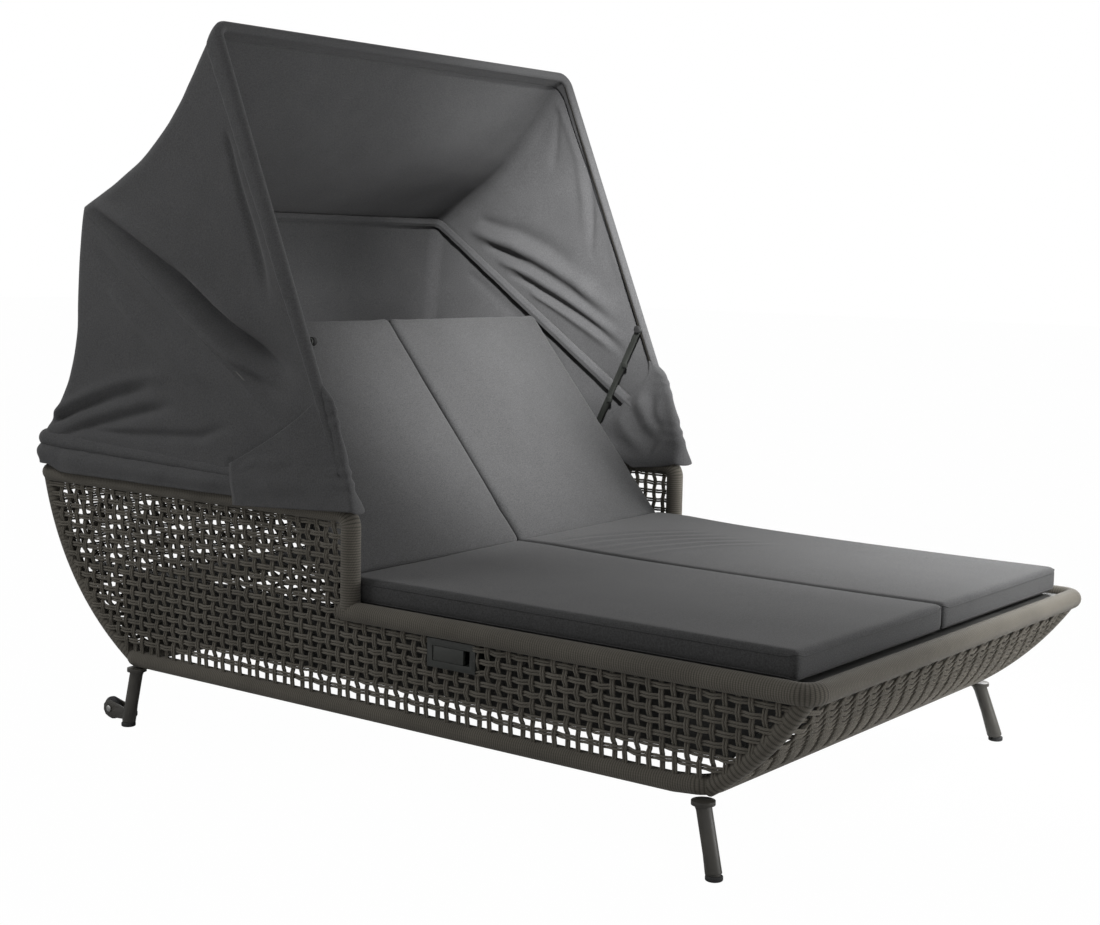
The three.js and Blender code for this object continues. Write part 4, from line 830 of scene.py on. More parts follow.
class DAYBED_OT_deck(bpy.types.Operator):
    """Finishes the deck, the backrest frames and their gas springs"""
    bl_idname = "daybed.deck"
    bl_label = "Deck and springs"

    def board(self, outline, start, end):
        """A board with its outline in y and z, from one x to another."""
        points = [(x, y, z) for x in (start, end) for y, z in outline]
        faces = [(0, 1, 2, 3), (7, 6, 5, 4), *((k, (k + 1) % 4, (k + 1) % 4 + 4, k + 4) for k in range(4))]
        return face_outwards(mesh_object("board", points, faces, "deck metal", False))

    def execute(self, context):
        boards = [self.board(SIDE_BOARD, side * BOARD_INNER, side * BOARD_OUTER) for side in SIDES.values()]
        boards.append(self.board(FOOT_BOARD, -BOARD_INNER, BOARD_INNER))
        deck = joined("deck_frame.finished", [softened("deck_frame", "deck metal", 0.0015, 1), *boards])
        finished(deck, "daybed", "deck_metal", "deck_frame")
        stand_in("hinge_rod", "daybed", "steel", "bare steel", 0.0008, 1, 60)
        for name in SIDES:
            stand_in(f"backrest_frame_{name}", f"backrest_{name}", "deck_metal", "deck metal", 0.0015, 1)
            stand_in(f"gas_cylinder_{name}", f"spring_{name}", "leg_metal", "powder coat", 0.0010, 1)
            stand_in(f"gas_rod_{name}", "daybed", "steel", "bare steel", 0.0010, 1)
        return {"FINISHED"}


class DAYBED_OT_handles(bpy.types.Operator):
    """Finishes the flush release handles in the side weave"""
    bl_idname = "daybed.handles"
    bl_label = "Release handles"

    def execute(self, context):
        for name in SIDES:
            stand_in(f"handle_housing_{name}", "daybed", "black_plastic", "moulded plastic", 0.0022, 3)
            stand_in(f"release_paddle_{name}", f"paddle_{name}", "black_plastic", "moulded plastic", 0.0014, 3)
        return {"FINISHED"}


# Cushions


# How a seat cushion differs from its solid: wider, shorter, lower, and shifted towards the head end
SEAT_WIDER, SEAT_SHORTER, SEAT_LOWER, SEAT_SHIFT = 0.008, 0.012, 0.006, 0.009
# A back cushion's width, length and thickness, and where it starts and lies on its backrest
BACK_SIZE = (0.602, 0.686, 0.072)
BACK_START, BACK_BASE = 0.030, 0.0105
# Each cushion before it swells, as its thickness and the crown of its top
SEAT_BLANK, BACK_BLANK = (0.058, 0.003), (0.066, 0.004)
MIDDLE_GAP = 0.0002
# Each seam as its height on the cushion's edge and the slope of the rays that find it
SEAMS = ((0.052, 0.9), (0.012, -0.55))
SEAM_CORNER = 0.03
RIPPLE = 0.0016
# The cover in the simulation that swells it, and the border of its back that isn't held
COVER_CLOTH = {"quality": 5, "mass": 0.3, "tension_stiffness": 12, "compression_stiffness": 12,
               "shear_stiffness": 5, "bending_stiffness": 0.6, "use_pressure": True}
SWELLING_FRAMES, HELD_INSET = 20, 0.03


def cushion_blank(width, long, thick, edge, crown):
    """A boxed pad with rounded edges and a crowned top, centred on X and Y, with its flat back at 0."""
    across, along = 26, 40
    shell = bmesh.new()
    grid = []
    for top in (0, 1):
        layer = {}
        for i in range(across + 1):
            for j in range(along + 1):
                u, v = 2 * i / across - 1, 2 * j / along - 1
                rise = crown * (1 - u * u) * (1 - v * v)
                z = thick + rise if top else 0.0
                layer[i, j] = shell.verts.new((u * width / 2, v * long / 2, z))
        grid.append(layer)
    for top in (0, 1):
        for i in range(across):
            for j in range(along):
                ring = [grid[top][i, j], grid[top][i + 1, j], grid[top][i + 1, j + 1], grid[top][i, j + 1]]
                shell.faces.new(ring if top else ring[::-1])
    border = ([(i, 0) for i in range(across)] + [(across, j) for j in range(along)]
              + [(i, along) for i in range(across, 0, -1)] + [(0, j) for j in range(along, 0, -1)])
    for here, there in zip(border, border[1:] + border[:1]):
        shell.faces.new([grid[0][here], grid[0][there], grid[1][there], grid[1][here]])
    mesh = bpy.data.meshes.new("blank")
    shell.to_mesh(mesh)
    shell.free()
    piece = bpy.data.objects.new("blank", mesh)
    bpy.context.scene.collection.objects.link(piece)
    bevel = piece.modifiers.new("edges", "BEVEL")
    bevel.width, bevel.segments, bevel.limit_method = edge, 4, "ANGLE"
    bevel.angle_limit = math.radians(50)
    return made_plain(piece)


def swollen(piece, settings):
    """Lets the filling press the cover outwards, with the flat back held where it rests."""
    remesh = piece.modifiers.new("cover mesh", "REMESH")
    remesh.mode = "VOXEL"
    remesh.voxel_size = settings.voxel
    made_plain(piece)
    rest = np.array([v.co for v in piece.data.vertices])
    held = piece.vertex_groups.new(name="held")
    flat = rest[:, 2] < rest[:, 2].min() + 0.002
    inside = (np.abs(rest[:, :2]) < np.abs(rest[:, :2]).max(0) - HELD_INSET).all(1)
    for index in np.flatnonzero(flat & inside):
        held.add([int(index)], 1.0, "REPLACE")
    cloth = piece.modifiers.new("filling", "CLOTH")
    for name, value in COVER_CLOTH.items():
        setattr(cloth.settings, name, value)
    cloth.settings.uniform_pressure_force = settings.pressure
    cloth.settings.effector_weights.gravity = 0
    cloth.settings.vertex_group_mass = "held"
    cloth.point_cache.frame_start, cloth.point_cache.frame_end = 1, SWELLING_FRAMES
    for number in range(1, SWELLING_FRAMES + 1):
        bpy.context.scene.frame_set(number)
    made_plain(piece)
    bpy.context.scene.frame_set(1)
    moved = np.array([v.co for v in piece.data.vertices]) - rest
    # The boxed edges are stiff and hardly drawn in
    drawn_in = moved[:, :2] * np.sign(rest[:, :2]) < 0
    moved[:, :2] *= np.where(drawn_in, 0.1, 1.0)
    far = np.linalg.norm(moved, axis=1)
    moved *= (np.minimum(far, settings.swell) / np.maximum(far, 1e-9))[:, None]
    piece.vertex_groups.clear()
    return rest, moved


def pad_points(rest, moved, wanted):
    """Scales the swelling so that the top just reaches the wanted height."""
    rise = moved[:, 2]
    middle = np.percentile(rise[rest[:, 2] > rest[:, 2].max() - 0.012], 90)
    share = (wanted - rest[:, 2].max()) / middle if middle > 1e-4 else 0.0
    return rest + moved * np.clip(share, 0, 3)


def crease(first, second, path, width, depth, opening=False):
    """Depth at each point of a fold that follows a path of (first, second) places and fades at its ends. An
    opening fold starts narrow and sharp."""
    path = np.asarray(path, float)
    steps = np.linalg.norm(np.diff(path, axis=0), axis=1)
    runs = np.r_[0, np.cumsum(steps)]
    here = np.stack([first, second], -1)
    nearest = np.full(here.shape[:-1], 1e9)
    at_run = np.zeros(here.shape[:-1])
    for start, end, run, long in zip(path[:-1], path[1:], runs, steps):
        share = np.clip(((here - start) @ (end - start)) / long ** 2, 0, 1)
        away = np.linalg.norm(here - start - share[..., None] * (end - start), axis=-1)
        closer = away < nearest
        nearest = np.where(closer, away, nearest)
        at_run = np.where(closer, run + share * long, at_run)
    share = at_run / runs[-1]
    if opening:
        begun, ended = np.clip(share / 0.10, 0, 1), np.clip((1 - share) / 0.30, 0, 1)
        fade = begun * (2 - begun) * eased(ended)
        width = width * (0.45 + 0.55 * np.clip(at_run / 0.25, 0, 1))
    else:
        fade = np.sin(np.pi * np.clip(share, 0.02, 0.98)) ** 0.6
    return depth * np.exp(-(nearest / width) ** 2) * fade


def cushion_run(points, half_width, half_long):
    """Where each point lies on the cover, with the sides laid flat beside the top."""
    side_x = np.clip((np.abs(points[:, 0]) - half_width + 0.02) / 0.02, 0, 1) * np.sign(points[:, 0])
    side_y = np.clip((np.abs(points[:, 1]) - half_long + 0.02) / 0.02, 0, 1) * np.sign(points[:, 1])
    return np.stack([points[:, 0] - side_x * points[:, 2], points[:, 1] - side_y * points[:, 2],
                     np.zeros(len(points))], 1)


def seam_line(points, faces, half_width, half_long, height, tilt):
    """A closed line of places where rays from outside meet the edge of a cushion."""
    tree = BVHTree.FromPolygons([Vector(p) for p in points], faces)
    outline = rounded_line(both_sides([(half_width, -half_long, 0), (half_width, half_long, 0)]), SEAM_CORNER,
                           8, True)
    line = []
    for point in densified(outline, 0.012, True):
        inner = Vector((max(-half_width + SEAM_CORNER, min(half_width - SEAM_CORNER, point.x)),
                        max(-half_long + SEAM_CORNER, min(half_long - SEAM_CORNER, point.y)), 0))
        outward = (point - inner).normalized()
        ray = Vector((-outward.x, -outward.y, -tilt)).normalized()
        hit = tree.ray_cast(Vector((point.x, point.y, height)) - ray * 0.08, ray)[0]
        if hit:
            line.append(hit)
    return line


def seat_wrinkle(points, side):
    """Low ripples, a rise towards the far rear corner, where the backrest presses the filling up, and on the
    right cushion the creases that run out from the backrest."""
    x, y = points[:, 0], points[:, 1]
    depth = np.array([noise.noise(Vector((a * 5, b * 3, side * 4.0))) for a, b, _ in points]) * RIPPLE
    rear = np.clip((y + 0.15) / 0.60, 0, 1) ** 2
    across = np.clip(x / 0.6 + 0.5, 0, 1)
    depth += rear * (0.009 + 0.007 * across if side > 0 else 0.009 * across ** 1.5)
    if side > 0:
        for k in range(5):
            start = 0.47 - 0.055 * k
            path = [(-0.27, start), (-0.16, start - 0.02), (-0.02, start - 0.075), (0.10, start - 0.16)]
            depth -= crease(x, y, path, 0.010, 0.0026 - 0.0003 * k)
            depth += crease(x, y, [(a, b - 0.022) for a, b in path], 0.013, 0.0020)
    return depth


def back_wrinkle(points, side):
    return np.array([noise.noise(Vector((x * 4, y * 4, 9 + side))) for x, y, _ in points]) * RIPPLE


class DAYBED_OT_cushions(bpy.types.Operator):
    """Makes the two seat cushions and the two back cushions with their seams"""
    bl_idname = "daybed.cushions"
    bl_label = "Cushions"

    def shape(self, settings, width, long, thick, crown, wanted):
        """Points and faces of a swollen cushion, whose top reaches the wanted height."""
        blank = cushion_blank(width - 0.002, long - 0.004, thick, settings.edge, crown)
        points = pad_points(*swollen(blank, settings), wanted)
        faces = [tuple(p.vertices) for p in blank.data.polygons]
        bpy.data.objects.remove(blank)
        limit = np.array([width / 2, long / 2])
        points[:, :2] = np.clip(points[:, :2], -limit, limit)
        points[:, 2] = np.maximum(points[:, 2], 0)
        return points, faces

    def pad(self, settings, node, shape, size, body, place, side, wrinkle):
        """One cushion with its seams; the left one is the mirror image of the right one."""
        points, faces = shape[0].copy(), shape[1]
        half = [measure / 2 - 0.001 for measure in size]
        if side < 0:
            points[:, 0] *= -1
            faces = [face[::-1] for face in faces]
        run = cushion_run(points, *half)
        top = points[:, 2] > points[:, 2].max() * 0.45
        points[:, 2] += np.where(top, wrinkle(points, side), 0)
        seams = [[place @ p for p in seam_line(points, faces, *half, *seam)] for seam in SEAMS]
        piece = mesh_object(f"{node}.cover", [place @ Vector(p) for p in points], faces, "cushion cover")
        set_cloth_run(piece, run)
        rounder = piece.modifiers.new("smooth cover", "SUBSURF")
        rounder.levels = rounder.render_levels = 1
        made_plain(piece)
        finished(piece, body, "cushion_cloth", node)
        for index, line in enumerate(seams):
            seam = wound(f"{node}.seam_{index}", [line], settings.seam, True, 0.012, 8, "cushion seam")
            finished(seam, body, "cushion_cloth")

    def execute(self, context):
        settings = context.scene.daybed_cushion
        low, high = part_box("seat_cushion_right")
        middle, size = (low + high) / 2, high - low
        width, long = size.x + SEAT_WIDER, size.y - SEAT_SHORTER
        shape = self.shape(settings, width, long, *SEAT_BLANK, size.z - SEAT_LOWER)
        for name, side in SIDES.items():
            place = Matrix.Translation((side * (width / 2 + MIDDLE_GAP), middle.y + SEAT_SHIFT, low.z))
            self.pad(settings, f"seat_cushion_{name}", shape, (width, long), "daybed", place, side, seat_wrinkle)

        width, long, thick = BACK_SIZE
        shape = self.shape(settings, width, long, *BACK_BLANK, thick + 0.009)
        turn = Matrix.Translation(HINGE) @ Matrix.Rotation(BACK_TURN, 4, "X")
        for name, side in SIDES.items():
            place = turn @ Matrix.Translation((side * (width / 2 + MIDDLE_GAP), BACK_START + long / 2, BACK_BASE))
            self.pad(settings, f"back_cushion_{name}", shape, (width, long), f"backrest_{name}", place, side,
                     back_wrinkle)
        return {"FINISHED"}


# Canopy


# Shares of a hoop's length, from its foot: a leg, then a corner, then half the roof
HOOP_LEG, HOOP_ARC = 0.40, 0.05
HOOP_ROOF = HOOP_LEG + HOOP_ARC
FRONT_GORE_WIDTH = 0.58
# Half the stretch between one hoop's body and the other's, which blended is given
GORE_BLEND = 0.220

SKIRT_X, SKIRT_START, SKIRT_HEAD, SKIRT_CORNER = 0.6560, 0.345, 1.0845, 0.0450
HEM_Z = 0.594

FLAP_TOP, FLAP_REAR = 0.861, 0.376
# The flap's front edge as (height, y)
FLAP_FRONT = ((0.560, 0.0120), (0.594, 0.0120), (0.640, 0.0280), (0.716, 0.0580), (0.821, 0.0920),
              (0.861, 0.1320))
# Folds of a flap as (path in y and z, width, depth)
INNER_FLAP_FOLDS = [([(0.15, 0.85), (0.17, 0.77), (0.13, 0.70), (0.08, 0.67)], 0.026, -0.020),
                    ([(0.09, 0.80), (0.10, 0.72), (0.06, 0.65)], 0.018, 0.014),
                    ([(0.24, 0.72), (0.19, 0.66), (0.12, 0.60)], 0.024, 0.014),
                    ([(0.30, 0.66), (0.22, 0.61)], 0.012, 0.010),
                    ([(0.05, 0.69), (0.09, 0.64), (0.12, 0.59)], 0.014, -0.010)]
OUTER_FLAP_FOLDS = [([(0.376, 0.640), (0.297, 0.680), (0.174, 0.687)], 0.012, -0.005),
                    ([(0.36, 0.60), (0.25, 0.632), (0.12, 0.640)], 0.018, 0.004)]
# The ends of the stretch from the body to the middle hoop, which blended is given
FLAP_BLEND = (Vector((0, 0.060, 0.650)), Vector((0, 0.100, 0.800)))


def hoop_places(hoop, u, off):
    """Along a hoop from its right foot over the roof to its left foot: x, distance from the pivot line, and
    the outward direction as (x, radial)."""
    radius, half, reach = HOOP_CORNER + off, HOOP_X + off, hoop[1] + off
    share = np.minimum(u, 1 - u)
    side = np.where(u <= 0.5, 1.0, -1.0)
    on_leg = np.clip(share / HOOP_LEG, 0, 1)
    turn = np.clip((share - HOOP_LEG) / HOOP_ARC, 0, 1) * math.pi / 2
    on_roof = np.clip((share - HOOP_ROOF) / HOOP_ARC, 0, 1)
    x = half - radius + radius * np.cos(turn) - on_roof * (half - radius)
    distance = HOOP_FOOT + on_leg * (reach - radius - HOOP_FOOT) + radius * np.sin(turn)
    return side * x, distance, side * np.cos(turn), np.sin(turn)


def even_u(legs, arcs, roof):
    """Places along a hoop, with the given counts on legs, corners and half roof."""
    half = np.r_[np.linspace(0, HOOP_LEG, legs, endpoint=False),
                 np.linspace(HOOP_LEG, HOOP_ROOF, arcs, endpoint=False),
                 np.linspace(HOOP_ROOF, 0.5, roof, endpoint=False)]
    return np.r_[half, 0.5, 1 - half[::-1]]


def on_hoop_plane(x, distance, angle):
    return np.stack(np.broadcast_arrays(x, PIVOT[0] + distance * np.cos(angle),
                                        PIVOT[1] + distance * np.sin(angle)), -1)


def hoop_frame(hoop, u):
    """Along a hoop: the middle of its tube, the directions out of the canopy and ahead, the distance from the
    pivot line, and how far a point is on a leg rather than on the roof."""
    angle = hoop[0]
    x, distance, nx, nr = hoop_places(hoop, u, 0.0)
    outward = np.stack([nx, nr * math.cos(angle), nr * math.sin(angle)], -1)
    ahead = np.array([0, -math.sin(angle), math.cos(angle)])
    return on_hoop_plane(x, distance, angle), outward, ahead, distance, np.abs(nx)


# Folds of each side as (path in y and z, width, depth outwards)
NEAR_FOLDS = [
    ([(0.870, 1.225), (0.724, 1.143), (0.637, 1.092), (0.553, 1.045), (0.470, 0.985), (0.390, 0.944),
      (0.311, 0.910), (0.233, 0.877), (0.164, 0.847)], 0.025, -0.056),
    ([(0.850, 1.240), (0.724, 1.190), (0.553, 1.110), (0.390, 1.005), (0.233, 0.918)], 0.026, 0.024),
    ([(0.850, 1.180), (0.724, 1.086), (0.553, 0.980), (0.390, 0.905), (0.233, 0.852)], 0.016, 0.028),
    ([(0.849, 1.141), (0.742, 1.062), (0.604, 0.975), (0.471, 0.910), (0.390, 0.870), (0.279, 0.838),
      (0.173, 0.822)], 0.020, -0.026),
    ([(0.800, 1.040), (0.640, 0.930), (0.500, 0.860), (0.380, 0.825)], 0.022, 0.009),
    ([(1.044, 0.703), (0.928, 0.752), (0.799, 0.792), (0.622, 0.837)], 0.018, -0.020),
    ([(1.025, 0.667), (0.873, 0.715), (0.692, 0.759), (0.554, 0.784)], 0.014, -0.016),
    ([(1.040, 0.725), (0.860, 0.790), (0.700, 0.830), (0.560, 0.860)], 0.020, 0.010),
    ([(0.900, 0.700), (0.700, 0.705), (0.500, 0.715), (0.360, 0.760)], 0.012, -0.010),
    ([(0.405, 1.396), (0.364, 1.277), (0.320, 1.159), (0.264, 1.010)], 0.014, -0.012),
    ([(0.340, 1.400), (0.300, 1.270), (0.260, 1.150), (0.210, 1.000)], 0.012, 0.008),
    ([(0.383, 0.678), (0.400, 0.649), (0.377, 0.611)], 0.012, -0.008),
]
FAR_FOLDS = [
    ([(0.760, 1.236), (0.705, 1.224), (0.595, 1.197), (0.516, 1.164), (0.445, 1.124), (0.375, 1.070)],
     0.026, 0.010),
    ([(0.790, 1.205), (0.730, 1.190), (0.631, 1.168), (0.540, 1.130), (0.476, 1.106), (0.388, 1.056),
      (0.311, 1.006), (0.230, 0.940)], 0.028, -0.018),
    ([(0.740, 1.165), (0.667, 1.145), (0.557, 1.113), (0.493, 1.081), (0.415, 1.044), (0.311, 0.979),
      (0.220, 0.915)], 0.020, 0.013),
    ([(0.690, 1.120), (0.611, 1.101), (0.539, 1.077), (0.467, 1.043), (0.379, 0.998), (0.310, 0.959),
      (0.200, 0.895)], 0.018, -0.014),
    ([(0.640, 1.080), (0.592, 1.067), (0.502, 1.030), (0.421, 0.994), (0.344, 0.955), (0.258, 0.899),
      (0.200, 0.860)], 0.014, 0.010),
    ([(0.566, 1.034), (0.466, 0.992), (0.371, 0.946), (0.302, 0.910), (0.240, 0.872)], 0.013, -0.010),
    ([(0.464, 1.579), (0.410, 1.482), (0.373, 1.400), (0.353, 1.292), (0.350, 1.155), (0.325, 1.107)],
     0.010, 0.008),
    ([(0.490, 1.579), (0.440, 1.482), (0.403, 1.400), (0.380, 1.292), (0.375, 1.180)], 0.014, -0.006),
    ([(0.477, 1.539), (0.484, 1.429), (0.500, 1.361)], 0.016, 0.006),
    ([(0.360, 1.400), (0.315, 1.280), (0.275, 1.150), (0.235, 1.040)], 0.012, -0.005),
    ([(0.900, 1.250), (0.690, 1.066), (0.575, 0.988), (0.465, 0.910), (0.394, 0.860), (0.306, 0.775)],
     0.016, -0.012),
    ([(0.800, 1.090), (0.640, 0.990), (0.520, 0.900), (0.420, 0.800)], 0.022, 0.010),
    ([(0.900, 0.900), (0.700, 0.820), (0.450, 0.760)], 0.030, 0.010),
    ([(0.950, 0.720), (0.750, 0.730), (0.550, 0.720)], 0.022, -0.008),
]


def side_folds(points, on_side):
    """How far the side folds push each point outwards; on_side is 1 on a side and 0 on the roof."""
    depth = np.zeros(points.shape[:-1])
    for folds, side in ((NEAR_FOLDS, -1), (FAR_FOLDS, 1)):
        here = (np.sign(points[..., 0]) == side) * on_side
        for path, width, deep in folds:
            depth += here * crease(points[..., 1], points[..., 2], path, width, deep, True)
    return depth


def rippled(points, scale, reach, seed):
    flat = points.reshape(-1, 3)
    values = [noise.noise(Vector(p) * scale + Vector((seed, 0, 0))) for p in flat]
    return np.array(values).reshape(points.shape[:-1]) * reach


def gore_points(first, second, sag, side_sag, u, v):
    """The middle surface of the cloth from one hoop to the next, at shares u along and v across."""
    x1, d1, nx1, nr1 = hoop_places(first, u, CLOTH_OFF)
    x2, d2, nx2, nr2 = hoop_places(second, u, CLOTH_OFF)
    low = on_hoop_plane(x1, d1, first[0])
    high = on_hoop_plane(x2, d2, second[0])
    point = low + (high - low) * v[..., None]
    angle = first[0] + (second[0] - first[0]) * v
    radial = nr1 + (nr2 - nr1) * v
    outward = np.stack([nx1 + (nx2 - nx1) * v, radial * np.cos(angle), radial * np.sin(angle)], -1)
    # The cloth is drawn in between the hoops: the roof sags, and the sides are hollow halfway up
    drawn = np.sin(np.pi * (v if second is MIDDLE_HOOP else v ** 1.5))
    reach = np.clip((d1 - HOOP_FOOT) / (first[1] - HOOP_FOOT), 0, 1)
    roof = eased(np.clip(reach * 2 - 1, 0, 1))
    inward = np.stack([np.zeros_like(angle), np.cos(angle), np.sin(angle)], -1)
    point = point - inward * (drawn * sag * roof)[..., None]
    # Folds and ripples end where the cloth lies on a hoop
    free = np.clip(drawn * 2.2, 0, 1)
    push = -drawn * side_sag * (np.sin(np.pi * reach) * np.abs(nx1))
    push = push + side_folds(point, np.abs(nx1) ** 2) * free
    push = push + (rippled(point, 7.0, 0.0035, 3.0) + rippled(point, 19.0, 0.0012, 8.0)) * free
    return point + outward * push[..., None], outward


def grid_faces(rows, columns):
    return [(a, a + 1, a + columns + 1, a + columns)
            for a in (i * columns + j for i in range(rows - 1) for j in range(columns - 1))]


def cloth_piece(name, points, thickness, flip=False):
    """A sheet over a grid of points, with the cloth's thickness."""
    rows, columns = points.shape[:2]
    faces = grid_faces(rows, columns)
    if flip:
        faces = [f[::-1] for f in faces]
    piece = mesh_object(name, points.reshape(-1, 3), faces, "canopy cloth")
    along = np.r_[0, np.cumsum(np.linalg.norm(np.diff(points[:, columns // 2], axis=0), axis=1))]
    across = np.r_[0, np.cumsum(np.linalg.norm(np.diff(points[rows // 2], axis=0), axis=1))]
    run = np.stack([*np.meshgrid(along, across, indexing="ij"), np.zeros((rows, columns))], -1)
    set_cloth_run(piece, run.reshape(-1, 3))
    wall = piece.modifiers.new("thickness", "SOLIDIFY")
    wall.thickness = thickness
    wall.offset = 0
    return made_plain(piece)


def blended(piece, bodies, start, end, *nodes):
    """Bakes the place of cloth that crosses the pivots into its mesh and hides the nodes that it stands for. The
    bodies on both sides of the pivots are not used.
    """
    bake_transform(piece)
    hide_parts(*nodes)


class DAYBED_OT_canopy(bpy.types.Operator):
    """Hangs the canopy: two gores over the hoops, the sleeves, the skirt and the flaps over the rail"""
    bl_idname = "daybed.canopy"
    bl_label = "Canopy cloth"

    def gore(self, settings, node, first, second, sag, bodies):
        u, v = even_u(96, 12, 24), np.linspace(0, 1, 90)
        points, _ = gore_points(first, second, sag, settings.side_sag, *np.meshgrid(u, v, indexing="ij"))
        piece = cloth_piece(f"{node}.cloth", points, settings.cloth)
        angle = (first[0] + second[0]) / 2
        across = Vector((0, -math.sin(angle), math.cos(angle))) * GORE_BLEND
        centre = Vector((0, *PIVOT))
        blended(piece, bodies, centre - across, centre + across, node)

    def front_sleeve(self, settings):
        """The hem of the front gore, taken round the front hoop and back under the cloth."""
        u = even_u(90, 14, 26)
        centre, outward, ahead, _, _ = hoop_frame(FRONT_HOOP, u)

        def off_gore(share, depth):
            across = np.full_like(u, share * (settings.sleeve / FRONT_GORE_WIDTH))
            point, normal = gore_points(FRONT_HOOP, MIDDLE_HOOP, settings.roof_sag, settings.side_sag, u, across)
            return point + normal * depth

        rows = [off_gore(share, 0.0016 + 0.0012 * math.sin(math.pi * share)) for share in np.linspace(1, 0.15, 5)]
        for step in range(1, 12):
            turn = math.pi * step / 12
            rows.append(centre + outward * WRAP_OFF * math.cos(turn) + ahead * WRAP_OFF * math.sin(turn))
        rows += [off_gore(share, -((1 - share) * 0.016 + 0.0022)) for share in np.linspace(0.15, 1, 5)]
        points = np.stack(rows, 1)
        # Small puckers along the outer tail
        pucker = np.sin(np.arange(len(u)) * 1.7)[:, None] * 0.0006
        points[:, :4, 0] += pucker * np.sign(points[:, :4, 0])
        piece = cloth_piece("canopy_front_sleeve.cloth", points, settings.cloth)
        finished(piece, "front_hoop", "canopy_cloth")

    def middle_sleeve(self, settings):
        """The band inside the cloth that holds the middle hoop, fuller low down on the legs."""
        centre, outward, ahead, distance, on_leg = hoop_frame(MIDDLE_HOOP, even_u(80, 14, 26))
        low = np.clip(1 - (distance - 0.12) / 0.75, 0, 1) * on_leg
        full = (0.0115 + 0.004 * low)[:, None]
        rows = []
        for step in range(17):
            turn = math.pi * step / 16
            side = math.cos(turn)
            depth = -math.sin(turn) ** 0.8 * full
            rise = 0.004 * abs(side) - 0.008 * abs(side) ** 3
            rows.append(centre + outward * (depth + rise) + ahead * side * full)
        points = np.stack(rows, 1)
        points = points + outward[:, None] * rippled(points, 30.0, 0.0016, 5.0)[..., None]
        piece = cloth_piece("canopy_middle_sleeve.cloth", points, settings.cloth, flip=True)
        finished(piece, "middle_hoop", "canopy_cloth")

    def rear_roll(self, settings):
        """The cloth rolled over the rear hoop, whose lower edge shades the skirt. It is slacker on the roof."""
        centre, outward, ahead, distance, _ = hoop_frame(REAR_HOOP, even_u(90, 14, 26))
        slack = 0.0035 + 0.0045 * np.clip((distance - 0.7) / 0.3, 0, 1)
        radius = WRAP_OFF + (slack * np.clip(distance * 3 - 0.9, 0, 1))[:, None]
        rows = []
        for step in range(17):
            turn = math.radians(100 - 250 * step / 16)
            rows.append(centre + outward * radius * math.cos(turn) + ahead * radius * math.sin(turn))
        points = np.stack(rows, 1)
        points = points + outward[:, None] * rippled(points, 14.0, 0.002, 2.0)[..., None]
        piece = cloth_piece("canopy_rear_roll.cloth", points, settings.cloth)
        finished(piece, "daybed", "canopy_cloth")

    def skirt(self, settings):
        """One sheet from the right flap round the head to the left flap, slack below the rear hoop."""
        plan = rounded_line(both_sides([(SKIRT_X, SKIRT_START, 0), (SKIRT_X, SKIRT_HEAD, 0)]), SKIRT_CORNER, 14)
        line = np.array([tuple(p) for p in densified(plan, 0.009)])
        along = np.gradient(line, axis=0)
        along /= np.linalg.norm(along, axis=1)[:, None]
        outward = np.stack([along[:, 1], -along[:, 0], np.zeros(len(line))], 1)
        outward *= np.sign((outward * (line - np.array([0, 0.5, 0]))).sum(1))[:, None]
        runs = np.r_[0, np.cumsum(np.linalg.norm(np.diff(line, axis=0), axis=1))]
        # The hem climbs a little at the head end, and the sheet's ends are hidden under the flaps
        hem = HEM_Z + eased(np.clip((line[:, 1] - 0.975) / 0.06, 0, 1)) * 0.016
        begun = np.clip((line[:, 1] - SKIRT_START - 0.01) / 0.08, 0, 1)
        hoop_z = PIVOT[1] + (np.clip(line[:, 1], 0, 1.0) - PIVOT[0]) * math.tan(REAR_HOOP[0])
        rows = []
        for share in np.linspace(0, 1, 22):
            z = hem + (hoop_z + 0.014 - hem) * share
            bulge = 0.0075 * math.sin(math.pi * min(1, share * 1.25)) ** 2
            tuck = -0.020 * max(0.0, (share - 0.45) / 0.55) ** 1.5
            fold = 0.0035 * (1 - share) * np.sin(runs * 21) ** 2 * (0.4 + 0.6 * np.sin(runs * 5.3) ** 2)
            off = (bulge + tuck + fold) * begun - 0.004 * (1 - begun)
            rows.append(line + outward * np.reshape(off, (-1, 1)) + np.stack([0 * z, 0 * z, z], 1))
        points = np.stack(rows, 1)
        ripple = np.abs(rippled(points, 11.0, 0.006, 6.0)) * begun[:, None]
        points = points + outward[:, None] * ripple[..., None]
        points[:, :, 0] = np.clip(points[:, :, 0], -0.668, 0.668)
        piece = cloth_piece("canopy_skirt.cloth", points, settings.cloth, flip=True)
        finished(piece, "daybed", "canopy_cloth", "canopy_skirt_right", "canopy_skirt_left",
                 "canopy_head_skirt")

    def flap(self, settings, name, side):
        """The cloth that wraps the front corner of the high rail, from its outer hem over to its inner hem."""
        # A place runs from -1 at the outer hem to 0 at the nose and on to 1 at the inner hem
        turns, runs, heights = 9, 34, 58
        places = np.r_[np.linspace(-1, 0, runs, endpoint=False), np.zeros(turns), np.linspace(0, 1, runs + 1)[1:]]
        nose = np.r_[np.zeros(runs), np.linspace(0, 1, turns), np.ones(runs)]
        place, up = np.meshgrid(places, np.linspace(0, 1, heights), indexing="ij")
        nose = np.repeat(nose[:, None], heights, 1)
        outer, inner = np.clip(-place, 0, 1), np.clip(place, 0, 1)
